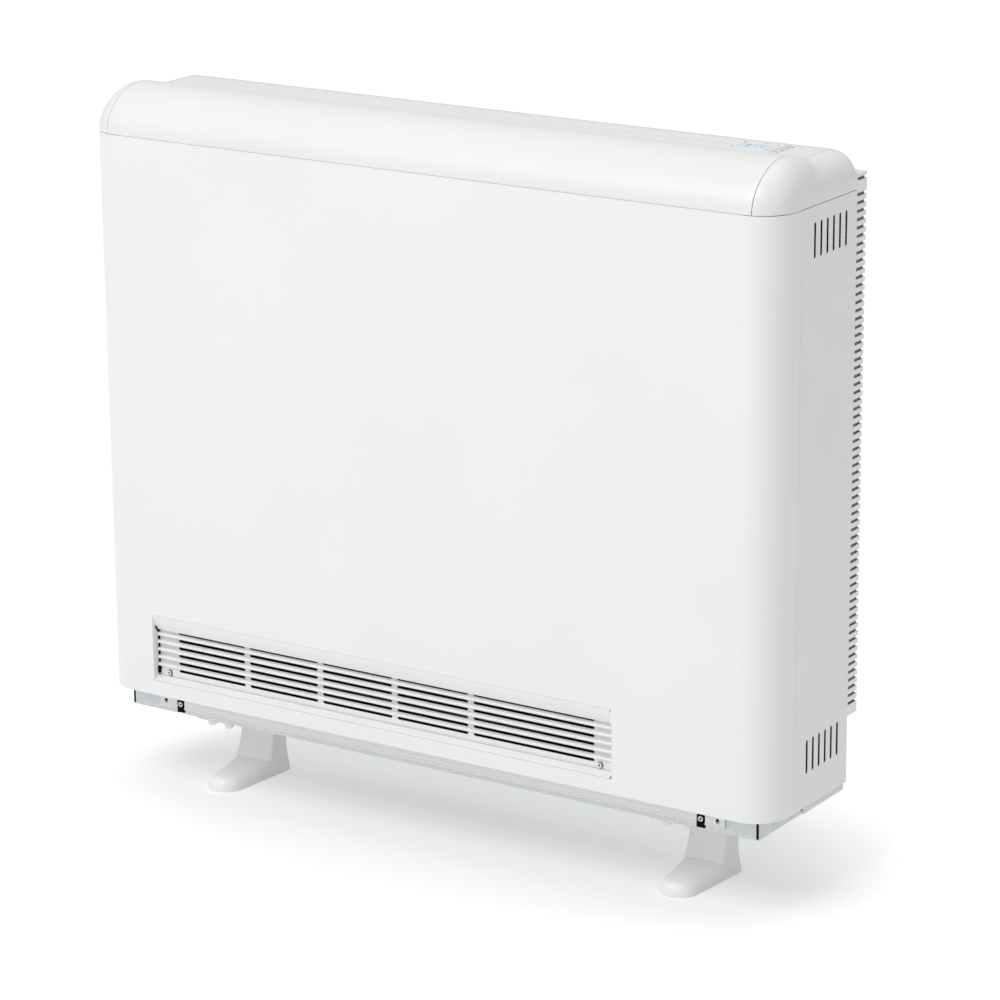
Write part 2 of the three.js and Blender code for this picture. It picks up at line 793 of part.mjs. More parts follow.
function key(y) {
  const w = keyWidth / 2;
  const d = keyDepth / 2;
  const under = deckTop - lidWall - gap;
  const foot = boardTop + keyTravel + 2 * gap;
  return join(
    box(keyX - w, keyX + w, y - d, y + d, under - lidWall / 2, deckTop + keyProud),
    box(keyX - w - keyCollar, keyX + w + keyCollar, y - d - gap, y + d + gap, under - keyCollar, under),
    box(keyX - w / 2, keyX + w / 2, y - d / 2, y + d / 2, foot, under),
  );
}
keyPlaces.forEach((y, i) => add("key_" + (i + 1), key(y), keyRubber));

function controlBoard() {
  const { x0, x1, y0, y1 } = boardSpan();
  return box(x0, x1, y0, y1, boardTop - boardThickness, boardTop);
}
add("control_board", controlBoard(), boardGreen);

// ---------------------------------------------------------------- base tray and cover strip

const stripScrewPlaces = [-(half - stripScrewInset), half - stripScrewInset];

function baseTray() {
  const outer = box(-trayHalf, trayHalf, trayFront, trayRear, footHeight, trayTop);
  const inner = box(-trayHalf + sheet, trayHalf - sheet, trayFront + sheet, trayRear - sheet,
    trayFloor, trayTop + past);
  const slits = sides.map(([, side]) => sideBox(side, trayHalf - cornerSlit, trayHalf + past,
    trayFront - past, trayFront + sheet, trayFloor, trayTop + past));
  const intakes = [];
  for (let i = 0; i < intakeSlots; i += 1) {
    const x = rotorMiddle + (i - (intakeSlots - 1) / 2) * intakeSlotPitch;
    const outline = slotOutline(x, fanDepth, intakeSlotLength, intakeSlotWidth, true);
    intakes.push(alongZ(outline, footHeight - past, trayFloor + past));
  }
  const notches = stripScrewPlaces.flatMap((x) => {
    const y0 = trayFront - past;
    const y1 = trayFront + sheet + past;
    const high = stripBottom + notchHeight;
    const drop = stripScrewHeight - tongueDrop;
    return [
      box(x - screwNotch / 2, x + screwNotch / 2, y0, y1 + past, footHeight - past, drop),
      box(x - screwNotch / 2, x - tongueLeft, y0, y1, drop - past, high),
      box(x + tongueRight, x + screwNotch / 2, y0, y1, drop - past, high),
      rodY(x, stripScrewHeight, screwShankRadius + gap / 3, y0, y1, holeSides),
    ];
  });
  const glandHole = rodZ(glandX, glandY, glandRadius + gap, footHeight - past, trayFloor + past);
  return cut(outer, inner, ...slits, ...intakes, ...notches, glandHole);
}
add("base_tray", baseTray(), galvanised);

function lowerCoverStrip() {
  const end = half - stripInset;
  const plate = box(-end, end, stripFront, stripFront + sheet, stripBottom, stripBottom + stripHeight);
  const lip = box(-end, end, stripFront - hem, stripFront + sheet / 2, stripBottom, stripBottom + hemHeight);
  const y0 = stripFront - hem - past;
  const y1 = stripFront + sheet + past;
  const notches = stripScrewPlaces.map((x) => box(x - screwNotch / 2, x + screwNotch / 2, y0, y1,
    stripBottom - past, stripBottom + notchHeight));
  const holeX = half - stripHoleInset;
  const holeZ = stripScrewHeight + stripHoleLift;
  const holes = sides.map(([, side]) => rodY(side * holeX, holeZ, stripHoleRadius, y0, y1, stripHoleSides));
  return cut(join(plate, lip), ...notches, ...holes);
}
add("lower_cover_strip", lowerCoverStrip(), stripPaint);

sides.forEach(([name], i) => {
  add("strip_screw_" + name, screw(stripScrewPlaces[i], trayFront - gap, stripScrewHeight), screwSteel);
});

// ---------------------------------------------------------------- rear grille

function rearGrille() {
  const rear = totalDepth;
  const outer = box(-rearHalf, rearHalf, rearFront, rear, rearBottom, rearTop);
  const inner = box(-rearHalf + sheet, rearHalf - sheet, rearFront + sheet, rear - sheet,
    rearBottom + sheet, rearTop - sheet);
  const mouth = box(-rearHalf + flangeWidth, rearHalf - flangeWidth, rearFront - past, rear - 2 * sheet,
    rearBottom + sheet, rearTop - sheet);
  const rows = Array.from({ length: louvreRows }, (_, i) => rearBottom + firstLouvreLift + i * louvrePitch);
  const middles = rows.filter((_, i) => i % rearFieldStep === Math.floor(rearFieldStep / 2));
  const h = louvreWidth / 2;
  const louvreStart = rearHalf - louvreWrap;
  const louvres = [...rows, rearTop - topLouvreDrop].flatMap((z) => sides.map(([, side]) =>
    sideBox(side, louvreStart, rearHalf + past, rearFront + 2 * sheet, rear + past, z - h, z + h)));
  const fields = middles.flatMap((z) => Array.from({ length: rearFields }, (_, i) => {
    const x0 = (i - (rearFields - 1) / 2) * (rearFieldLength + rearFieldWeb) - rearFieldLength / 2;
    return box(x0, x0 + rearFieldLength, rear - 2 * sheet, rear + past, z - h, z + h);
  }));
  return cut(outer, inner, mouth, ...louvres, ...fields);
}
add("rear_grille", rearGrille(), whitePaint);

// ---------------------------------------------------------------- feet

// A quarter of a superellipse, from 0 at share 0 up to 1 at share 1.
function roundShare(share, squareness) {
  const rest = 1 - Math.min(share, 1);
  return (1 - rest ** squareness) ** (1 / squareness);
}

// Value at a place along a list of [place, value] points.
function along(points, place) {
  const next = Math.max(1, points.findIndex(([start]) => start >= place));
  const [start, low] = points[next - 1];
  const [end, high] = points[next];
  return THREE.MathUtils.mapLinear(place, start, end, low, high);
}

// One level of the upright, seen from above.
function uprightRing(x, z, front) {
  const cornerSteps = 2;
  const half = uprightHalf + heelFlare / (1 + (z / flareHeight) ** 2) - uprightRound;
  const near = front + uprightRound;
  const far = footHeel - uprightRound;
  const plan = [
    ...arc(-half, near, uprightRound, 180, 270, cornerSteps),
    ...arc(half, near, uprightRound, 270, 360, cornerSteps),
    ...arc(half, far, uprightRound, 0, 90, cornerSteps),
    ...arc(-half, far, uprightRound, 90, 180, cornerSteps),
  ];
  return plan.map(([u, v]) => [x + u, v, z]);
}

// One section across the toe, flat on the floor and round above.
function toeSection(x, y) {
  const steps = 18;
  const tip = y - toeTip;
  const behind = Math.max(0, tip - toeRoundLength);
  const half = (toeHalf + toeSpread * behind) * roundShare(tip / toeRoundLength, 2);
  const squareness = along(toeSquareness, y);
  const high = along(toeTop, y) * roundShare(tip / toeNoseLength, squareness);
  const power = 2 / squareness;
  return Array.from({ length: steps + 1 }, (_, i) => {
    const angle = (Math.PI * i) / steps;
    const across = Math.sign(Math.cos(angle)) * Math.abs(Math.cos(angle)) ** power;
    return [x + half * across, y, high * Math.sin(angle) ** power];
  });
}

// Sections from the rear to the tip.
function toe(x) {
  const tips = [kneeDepth - toeTip, 60, 56, 51, 46, 40, 33, 26, 20, 15, 11, 7.5, 4.5, 2.5, 1, 0.2];
  return loft([toeRear, ...tips.map((tip) => toeTip + tip)].map((y) => toeSection(x, y)));
}

function foot(x) {
  const top = footHeight - gap;
  const upright = loft(uprightFront.map(([z, front]) => uprightRing(x, z, front)));
  const plate = box(x - uprightHalf, x + uprightHalf, footPlateFront, footHeel - footPlateRear,
    top - footPlate, top);
  const lugHeight = top - footPlate - lugDrop;
  const lugFront = lugDepth - lugThickness / 2;
  const lugRear = lugFront + lugThickness;
  const lugMiddle = x + lugOffset;
  const lugs = [lugMiddle - lugFromCentre, lugMiddle + lugFromCentre].map((middle) => join(
    rodY(middle, lugHeight, lugRadius, lugFront, lugRear, roundSides),
    box(middle - lugRadius, middle + lugRadius, lugFront, lugRear, lugHeight, top - footPlate / 2)));
  return join(upright, toe(x), plate, ...lugs);
}
for (const [name, side] of sides) {
  add("foot_" + name, foot(side * (half - footFromSide)), footPlastic);
}

// ---------------------------------------------------------------- inner case

function caseSide(side) {
  return sideBox(side, trayHalf - sheet, trayHalf, caseFrontDepth + sheet + gap, caseBack,
    trayTop + gap, caseTop - sheet - gap);
}

// A sheet across the case with folded edges, which lie inside the case sides.
function caseWall(y0, y1, flange0, flange1, bottom) {
  const reach = trayHalf - sheet - gap;
  const top = caseTop - sheet - gap;
  return join(box(-reach, reach, y0, y1, bottom, top), ...sides.map(([, side]) =>
    sideBox(side, reach - sheet, reach, flange0, flange1, bottom, top)));
}

const caseFrontRear = caseFrontDepth + sheet;
const caseFrontWall = caseWall(caseFrontDepth, caseFrontRear, caseFrontDepth, caseFrontRear + caseFlange,
  shelfTop + gap);
const caseBackWall = caseWall(caseBack - sheet, caseBack, caseBack - caseFlange, caseBack, trayTop + gap);
const caseTopSheet = box(-trayHalf, trayHalf, caseFrontDepth, caseBack, caseTop - sheet, caseTop);
add("case_front", caseFrontWall, galvanised);
add("case_back", caseBackWall, galvanised);
add("case_top", caseTopSheet, galvanised);
for (const [name, side] of sides) {
  add("case_side_" + name, caseSide(side), galvanised);
}

// The shelf that carries the core, on an end leg at each side. Its slot lets the core's air down to
// the duct, and two ears beside the slot hold the flap's hinge.
const flapAxisHeight = shelfTop + gap + flapThickness + flapBarrel / 2;
const flapLeft = rotorMiddle - flapLength / 2;
const flapRight = rotorMiddle + flapLength / 2;
const airSlotFront = flapHingeDepth - flapReach + airSlotOverlap;
const airSlotRear = flapHingeDepth - airSlotInset;

function coreShelf() {
  const reach = liningHalf;
  const front = caseFrontRear + gap + caseFlange + gap;
  const rear = caseBack - caseFlange - gap;
  const plate = box(-reach, reach, front, rear, shelfTop - sheet, shelfTop);
  const legs = sides.map(([, side]) =>
    sideBox(side, reach - sheet, reach, front, rear, trayFloor + gap, shelfTop - sheet / 2));
  const slot = box(flapLeft + airSlotInset, flapRight - airSlotInset, airSlotFront, airSlotRear,
    shelfTop - sheet - past, shelfTop + past);
  const ears = [flapLeft - gap - flapEar, flapRight + gap].map((x) => {
    const low = shelfTop - sheet / 2;
    const high = flapAxisHeight + 2 * flapBarrel;
    const ear = box(x, x + flapEar, flapHingeDepth - flapEarHalf, flapHingeDepth + flapEarHalf, low, high);
    const bore = flapBarrel + shaftClearance;
    return cut(ear, rodX(flapHingeDepth, flapAxisHeight, bore, x - past, x + flapEar + past));
  });
  return join(cut(join(plate, ...legs), slot), ...ears);
}
add("core_shelf", coreShelf(), galvanised);

// ---------------------------------------------------------------- insulation

const insulationFrontFace = caseFrontRear + gap;
const insulationRearFace = caseBack - sheet - gap;
const frontSlabRear = insulationFrontFace + frontInsulation;
const rearSlabFront = insulationRearFace - rearInsulation;

add("insulation_front", box(-liningHalf, liningHalf, insulationFrontFace, frontSlabRear,
  coreBottom, coreTop), insulationGrey);
add("insulation_rear", box(-liningHalf, liningHalf, rearSlabFront, insulationRearFace,
  coreBottom, coreTop), insulationGrey);
add("insulation_top", box(-liningHalf, liningHalf, insulationFrontFace, insulationRearFace,
  coreTop + gap, coreTop + gap + topInsulation), insulationGrey);

// The base slab has a well over the shelf's slot, where the flap swings.
function baseSlab() {
  const slab = box(-liningHalf, liningHalf, insulationFrontFace, insulationRearFace,
    shelfTop + gap, coreBottom - gap);
  const end = flapEar + flapEndRoom;
  const well = box(flapLeft - end, flapRight + end, airSlotFront - flapWell, flapHingeDepth + flapWell,
    shelfTop, coreBottom + past);
  return cut(slab, well);
}
add("insulation_base", baseSlab(), insulationGrey);

// ---------------------------------------------------------------- core bricks and elements

const brickLength = (2 * coreHalf - (brickColumns + 1) * gap) / brickColumns;
const brickHeight = (coreTop - coreBottom - (brickCourses + 1) * gap) / brickCourses;
const elementDepths = [coreMiddle - elementSpread / 2, coreMiddle + elementSpread / 2];
const elementSides = 6;
const courseTop = (course) => coreBottom + (course + 1) * (brickHeight + gap);

function brick(column, course) {
  const x0 = -coreHalf + gap + column * (brickLength + gap);
  const x1 = x0 + brickLength;
  const z0 = coreBottom + gap + course * (brickHeight + gap);
  const z1 = z0 + brickHeight;
  const block = box(x0, x1, coreFront, coreRear, z0, z1);
  const grooves = [];
  for (const y of elementDepths) {
    if (course > 0) grooves.push(rodX(y, z0 - gap / 2, grooveRadius, x0 - past, x1 + past, elementSides));
    if (course + 1 < brickCourses) {
      grooves.push(rodX(y, z1 + gap / 2, grooveRadius, x0 - past, x1 + past, elementSides));
    }
  }
  const channels = airChannelShares.map((share) => {
    const x = x0 + share * brickLength;
    return box(x - airChannelLength / 2, x + airChannelLength / 2, coreMiddle - airChannelWidth / 2,
      coreMiddle + airChannelWidth / 2, z0 - past, z1 + past);
  });
  return cut(block, ...grooves, ...channels);
}
for (let course = 0; course < brickCourses; course += 1) {
  for (let column = 0; column < brickColumns; column += 1) {
    add("brick_" + (course + 1) + "_" + (column + 1), brick(column, course), brickBrown);
  }
}

// A hairpin heating element between two courses: a round tube swept along corners that lie level at
// z, out to the left, round the bend and back.
function heatingElement(z) {
  const bendX = -coreHalf - gap;
  const tail = coreHalf + elementTail;
  const bendSteps = 8;
  const corners = [
    [tail, elementDepths[0]],
    ...arc(bendX, coreMiddle, elementSpread / 2, 270, 90, bendSteps),
    [tail, elementDepths[1]],
  ];
  const rings = corners.map(([x, y], i) => {
    const [xa, ya] = corners[Math.max(0, i - 1)];
    const [xb, yb] = corners[Math.min(corners.length - 1, i + 1)];
    const across = new THREE.Vector2(ya - yb, xb - xa).normalize();
    return circle(0, 0, elementRadius, elementSides).map(([u, v]) =>
      [x + across.x * u, y + across.y * u, z + v]);
  });
  return loft(rings);
}
const elementHeights = Array.from({ length: brickCourses - 1 }, (_, i) => courseTop(i) + gap / 2);
elementHeights.forEach((z, i) => add("heating_element_" + (i + 1), heatingElement(z), elementSteel));

// The end slabs, with pockets for the hairpins' bends and tails.
for (const [name, side] of sides) {
  const slab = sideBox(side, coreHalf + gap, liningHalf, frontSlabRear + gap, rearSlabFront - gap,
    coreBottom, coreTop);
  const pocket = elementSpread / 2 + elementRadius + elementClearance;
  const depth = side > 0 ? elementTail + elementClearance : pocket + elementClearance;
  const pockets = elementHeights.map((z) => sideBox(side, coreHalf - past, coreHalf + gap + depth,
    coreMiddle - pocket, coreMiddle + pocket, z - elementRadius - gap, z + elementRadius + gap));
  add("insulation_" + name, cut(slab, ...pockets), insulationGrey);
}

// ---------------------------------------------------------------- fan

// A folded sheet along a line of [y, z] points, thickened to its left.
function ribbon(points, thickness, x0, x1) {
  const outer = points.map(([y, z], i) => {
    const [ya, za] = points[Math.max(0, i - 1)];
    const [yb, zb] = points[Math.min(points.length - 1, i + 1)];
    const length = Math.hypot(yb - ya, zb - za);
    return [y - ((zb - za) / length) * thickness, z + ((yb - ya) / length) * thickness];
  });
  return alongX([...points, ...outer.reverse()], x0, x1);
}

function fanHousing() {
  const low = trayFloor + gap;
  const front = ductRear + gap;
  const over = arc(fanDepth, fanHeight, scrollRadius, 100, -35, 12);
  const scroll = ribbon([[front, ductTop - sheet], ...over], sheet, housingLeft, housingRight);
  const tongue = ribbon([[front, ductBottom], [fanDepth - rotorRadius - tongueGap, ductBottom - tongueDip]],
    sheet, housingLeft, housingRight);
  const plates = [housingLeft, housingRight - sheet].map((x) =>
    box(x, x + sheet, front, fanDepth + scrollRadius + 2 * sheet, low, shelfTop - sheet - gap));
  const bearingHole = rodX(fanDepth, fanHeight, bearingRadius + gap,
    housingLeft - past, housingLeft + sheet + past);
  const shaftHole = rodX(fanDepth, fanHeight, shaftRadius + bearingCollar,
    housingRight - sheet - past, housingRight + past);
  return cut(join(scroll, tongue, ...plates), bearingHole, shaftHole);
}
add("fan_housing", fanHousing(), galvanised);

// A cross-flow rotor: blades in a ring between end discs, with a shaft stub at each end.
function fanRotor() {
  const discs = [rotorLeft, rotorMiddle - rotorDisc / 2, rotorRight - rotorDisc].map((x) =>
    rodX(fanDepth, fanHeight, rotorRadius, x, x + rotorDisc, 2 * rotorBlades));
  const blades = Array.from({ length: rotorBlades }, (_, i) => {
    const r1 = rotorRadius - gap;
    const r0 = r1 - rotorRim;
    const t = bladeThickness / 2;
    const turn = new THREE.Vector2(fanDepth, fanHeight);
    const corners = [[r0, -t], [r1, -t], [r1, t], [r0, t]].map(([u, v]) => {
      const p = new THREE.Vector2(fanDepth + u, fanHeight + v);
      p.rotateAround(turn, ((i + 0.5) / rotorBlades) * 2 * Math.PI);
      return [p.x, p.y];
    });
    return alongX(corners, rotorLeft + rotorDisc / 2, rotorRight - rotorDisc / 2);
  });
  const stubEnd = housingLeft - bearingLength / 2;
  const leftStub = rodX(fanDepth, fanHeight, shaftRadius, stubEnd, rotorLeft + rotorDisc);
  const rightStub = rodX(fanDepth, fanHeight, shaftRadius, rotorRight - rotorDisc, motorLeft + motorShaft);
  return join(...discs, ...blades, leftStub, rightStub);
}
add("fan_rotor", fanRotor(), fanSteel);

function fanBearing() {
  const x0 = housingLeft - bearingLength + sheet;
  const bush = rodX(fanDepth, fanHeight, bearingRadius, x0, housingLeft + 2 * sheet);
  const collar = rodX(fanDepth, fanHeight, bearingRadius + bearingCollar, x0, housingLeft - gap);
  const bore = rodX(fanDepth, fanHeight, shaftRadius + shaftClearance, x0 - past, housingLeft + 3 * sheet);
  return cut(join(bush, collar), bore);
}
add("fan_bearing", fanBearing(), bearingBrass);

// The motor beside the housing, on a saddle that stands on the tray.
function fanMotor() {
  const start = housingRight + gap;
  const can = rodX(fanDepth, fanHeight, motorRadius, motorLeft, motorRight);
  const snout = rodX(fanDepth, fanHeight, motorRadius / 2, start, motorLeft + past);
  const saddle = box(motorLeft + saddleInset, motorRight - saddleInset, fanDepth - saddleHalf,
    fanDepth + saddleHalf, trayFloor + gap, fanHeight);
  const bore = rodX(fanDepth, fanHeight, shaftRadius + shaftClearance, start - past,
    motorLeft + motorShaft + 2 * past);
  return cut(join(can, snout, saddle), bore);
}
add("fan_motor", fanMotor(), motorBlack);

// The flap over the shelf's slot, which lifts about a barrel along its rear edge.
function mixingFlap() {
  const low = shelfTop + gap;
  const plate = box(flapLeft, flapRight, flapHingeDepth - flapReach, flapHingeDepth,
    low, low + flapThickness);
  const barrel = rodX(flapHingeDepth, flapAxisHeight, flapBarrel,
    flapLeft - gap - flapEar, flapRight + gap + flapEar, 12);
  return join(plate, barrel);
}
add("mixing_flap", mixingFlap(), galvanised);

// ---------------------------------------------------------------- electrical pieces

function thermalCutout() {
  const x = half - cutoutFromRight;
  const under = shelfTop - sheet - gap;
  const can = rodZ(x, cutoutDepth, cutoutRadius, under - cutoutHeight, under - sheet);
  const tab = box(x - 2 * cutoutRadius, x + 2 * cutoutRadius, cutoutDepth - cutoutTabHalf,
    cutoutDepth + cutoutTabHalf, under - 2 * sheet, under);
  return join(can, tab);
}
add("thermal_cutout", thermalCutout(), blackPlastic);

function terminalBlock() {
  const floor = trayFloor + gap;
  const top = floor + terminalHeight;
  const wide = terminalWidth / 2;
  const deep = terminalDepth / 2;
  const block = box(terminalX - wide, terminalX + wide, fanDepth - deep, fanDepth + deep, floor, top);
  const pitch = terminalWidth / terminalPoles;
  const wells = Array.from({ length: terminalPoles }, (_, i) => {
    const x = terminalX + (i - (terminalPoles - 1) / 2) * pitch;
    return box(x - pitch / 3, x + pitch / 3, fanDepth - deep / 2, fanDepth + deep / 2,
      floor + terminalHeight / 2, top + past);
  });
  return cut(block, ...wells);
}
add("terminal_block", terminalBlock(), blackPlastic);

function cableGland() {
  const low = footHeight - gap - glandFlange;
  const high = trayFloor + glandRise;
  const nutSides = 6;
  const nut = rodZ(glandX, glandY, glandRadius + glandFlange, low, footHeight - gap, nutSides);
  const barrel = rodZ(glandX, glandY, glandRadius, footHeight - past, high);
  const ringLow = trayFloor + gap;
  const ring = rodZ(glandX, glandY, glandRadius + glandFlange, ringLow, ringLow + glandFlange);
  const bore = rodZ(glandX, glandY, glandBore, low - past, high + past);
  return cut(join(nut, barrel, ring), bore);
}
add("cable_gland", cableGland(), blackPlastic);

export default heater;
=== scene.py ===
"""The storage heater's looks, built around its fixed frame. Metres, +Z up, the front faces -Y."""

import json
import math

import bmesh
import bpy
from mathutils import Matrix, Vector


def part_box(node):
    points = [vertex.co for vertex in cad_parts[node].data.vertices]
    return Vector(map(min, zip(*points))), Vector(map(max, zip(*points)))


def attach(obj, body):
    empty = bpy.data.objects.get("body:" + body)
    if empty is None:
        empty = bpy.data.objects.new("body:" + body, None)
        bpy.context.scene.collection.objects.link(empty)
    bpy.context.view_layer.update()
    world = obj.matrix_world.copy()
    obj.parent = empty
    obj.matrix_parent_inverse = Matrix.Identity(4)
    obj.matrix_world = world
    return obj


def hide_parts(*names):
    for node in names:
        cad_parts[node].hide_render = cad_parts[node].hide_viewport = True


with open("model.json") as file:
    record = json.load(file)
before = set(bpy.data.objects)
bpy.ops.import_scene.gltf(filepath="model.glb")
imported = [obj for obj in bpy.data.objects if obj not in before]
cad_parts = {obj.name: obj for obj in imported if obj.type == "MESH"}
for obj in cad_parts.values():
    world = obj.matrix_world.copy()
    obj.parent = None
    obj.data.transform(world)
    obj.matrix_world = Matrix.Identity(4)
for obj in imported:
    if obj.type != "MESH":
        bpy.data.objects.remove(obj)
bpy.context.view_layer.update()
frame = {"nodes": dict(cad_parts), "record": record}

MM = 0.001
BODY = "body"

# ------------------------------------------------------------------ camera and light

CAMERA_AZIMUTH = 33.0  # degrees to the right of the front
CAMERA_ELEVATION = 16.48
CAMERA_ROLL = 0.39
CAMERA_DISTANCE = 3.917
CAMERA_TARGET = Vector((0.0408, 0.0, 0.3479))
CAMERA_LENS = 143.6  # millimetres on a 36 mm sensor
SENSOR = 36.0

WORLD_STRENGTH = 0.62
# Each lamp's place, the height above the origin that it points at, its width and its power
LAMPS = {
    "key": ((-0.7, -3.2, 4.3), 0.35, 3.0, 96.0),
    "fill": ((-0.6, -3.6, 0.9), 0.25, 2.6, 11.0),
    "top": ((0.2, 0.9, 4.4), 0.7, 2.4, 20.0),
    "window": ((0.36, -3.8, 2.7), 0.7, 0.34, 3.2),  # a small highlight on the right end cap
}
# The smaller lift near the heater paints a darker pool of shade on the floor round it, on top of its real
# shadow.
NEAR_LIFT = 0.25  # added to the floor under the heater where the camera and reflections see it
FAR_LIFT = 0.5  # the same away from the heater
LIFT_AXES = (0.42, 0.22)  # half-axes of the ellipse round the heater by which the lift grows
LIFT_START = 0.75  # in these half-axes
LIFT_END = 1.5
FLOOR_COLOUR = 0.8
FLOOR_HALF = 14.0

# ------------------------------------------------------------------ sizes of the lid, from the frame

cap_low, cap_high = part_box("lid_end_cap_right")
cover_low, cover_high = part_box("lid_cover")
panel_low, panel_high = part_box("front_panel")

FRONT = panel_low.y  # the front face's plane
HALF = cap_high.x
DECK_REAR = cap_high.y
LID_BASE = cap_low.z
CREST = cover_high.z
CAP_SEAM = cap_low.x
COVER_END = cover_high.x
RIM_LAND = 1.5 * MM
DECK_RISE = 33.9 * MM
NOSE_REACH = 56 * MM  # front face to the crest
NOSE_FALL = 61.6 * MM
NOSE_SQUARENESS = 1.85
END_RADIUS = 31 * MM
END_SQUARENESS = 2.37
CORNER_RADIUS = 36 * MM
LID_WALL = 2 * MM
SEAM_WIDENING = 0.4 * MM  # the seam between cover and end cap shows as a fine line
LID_EDGE = 0.25 * MM
LEAST_SHARE = 0.03  # of the lid's rise, at its very end
KEY_HOLE_HALF = Vector((4.5 * MM, 2.7 * MM, 0))
HOLE_CLEARANCE = 0.3 * MM
LID_LEVEL = LID_BASE + RIM_LAND
NOSE_RISE = CREST - LID_LEVEL
DECK_TOP = LID_LEVEL + DECK_RISE

# ------------------------------------------------------------------ mesh helpers

POINT_MERGE = 0.01 * MM
BOX_FACES = [(0, 2, 3, 1), (4, 5, 7, 6), (0, 1, 5, 4), (2, 6, 7, 3), (0, 4, 6, 2), (1, 3, 7, 5)]


def new_object(name, vertices, faces):
    mesh = bpy.data.meshes.new(name)
    mesh.from_pydata([tuple(v) for v in vertices], [], faces)
    mesh.update()
    made = bpy.data.objects.new(name, mesh)
    bpy.context.scene.collection.objects.link(made)
    return made


def outward(made):
    """Turns every face outwards."""
    shape = bmesh.new()
    shape.from_mesh(made.data)
    bmesh.ops.recalc_face_normals(shape, faces=shape.faces)
    shape.to_mesh(made.data)
    shape.free()
    return made


def smooth(made, angle=35):
    for face in made.data.polygons:
        face.use_smooth = True
    made.data.set_sharp_from_angle(angle=math.radians(angle))


def apply_modifiers(made):
    graph = bpy.context.evaluated_depsgraph_get()
    mesh = bpy.data.meshes.new_from_object(made.evaluated_get(graph))
    made.modifiers.clear()
    made.data = mesh
    return made


def box_corners(low, high):
    x_ends, y_ends, z_ends = zip(low, high)
    return [(x, y, z) for z in z_ends for y in y_ends for x in x_ends]


def box_object(name, low, high):
    return new_object(name, box_corners(low, high), BOX_FACES)


def add_bevel(made, width, segments, angle):
    edge = made.modifiers.new("edge", "BEVEL")
    edge.width = width
    edge.segments = segments
    edge.limit_method = "ANGLE"
    edge.angle_limit = math.radians(angle)
    edge.use_clamp_overlap = True


def edge_bevel(made, width, segments=2, angle=45):
    add_bevel(made, width, segments, angle)
    return apply_modifiers(made)


def remove(made):
    bpy.data.objects.remove(made, do_unlink=True)


def merge_slivers(made, distance):
    """Joins points that lie closer than the distance, and drops the faces that this leaves without area."""
    shape = bmesh.new()
    shape.from_mesh(made.data)
    bmesh.ops.remove_doubles(shape, verts=shape.verts, dist=distance)
    bmesh.ops.dissolve_degenerate(shape, edges=shape.edges, dist=distance)
    shape.to_mesh(made.data)
    shape.free()


def rings_object(name, rings):
    """A closed skin through rings that all have the same number of points."""
    count = len(rings[0])
    vertices = [point for ring in rings for point in ring]
    faces = []
    for r in range(len(rings) - 1):
        for i in range(count):
            a = r * count + i
            b = r * count + (i + 1) % count
            faces.append((a, b, b + count, a + count))
    last = (len(rings) - 1) * count
    faces.append(tuple(reversed(range(count))))
    faces.append(tuple(range(last, last + count)))
    return outward(new_object(name, vertices, faces))


def finish_piece(made, body, material):
    made.data.materials.clear()
    made.data.materials.append(material)
    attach(made, body)
    return made


# ------------------------------------------------------------------ colours, and where they change

# near black, painted as shade in recesses, slots and behind sheets
SHADE_DARK = (0.012, 0.012, 0.013)
WARM_GREY = (0.56, 0.515, 0.51)
OUTLET_LEFT = -329.5 * MM  # the front panel's opening
OUTLET_RIGHT = 221.5 * MM
OUTLET_BASE = 118.7 * MM
OUTLET_TOP = 189 * MM
FOLD_LINE = 0.45 * MM  # half of a fold's width
RECESS_START = 0.55 * MM  # a screw's face to its recess, where the painted shade starts
LAST_RIDGE = 132 * MM  # height of the grille's lowest ridge
RIDGE_HEIGHT = 2.4 * MM
VALLEY_SHADE_SHARE = 0.55  # of warm grey painted as shade in the grille's valleys
FOLD_SHARE = 0.45  # and along the outlet's folds
WHITE_WRAP = 0.35 * MM  # how far the white reaches round an edge before the painted shade starts
GRILLE_SETBACK = 10 * MM  # front panel to the grille's plate
SHADE_HALF = 385 * MM  # galvanised parts are painted near black as shade inside this
SHADE_BASE = 101.5 * MM  # and above this
SHADE_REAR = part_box("case_back")[1].y - 0.3 * MM  # and in front of the case's outer rear face
SHADE_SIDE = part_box("case_back")[1].x  # the painted shade reaches the case's sides up to their rear edges

COAT_ROUGHNESS = 0.14
WHITE = (0.868, 0.866, 0.868)
SIDE_WHITE = (0.865, 0.842, 0.84)
LID_WHITE = (0.82, 0.823, 0.826)

# ------------------------------------------------------------------ material helpers


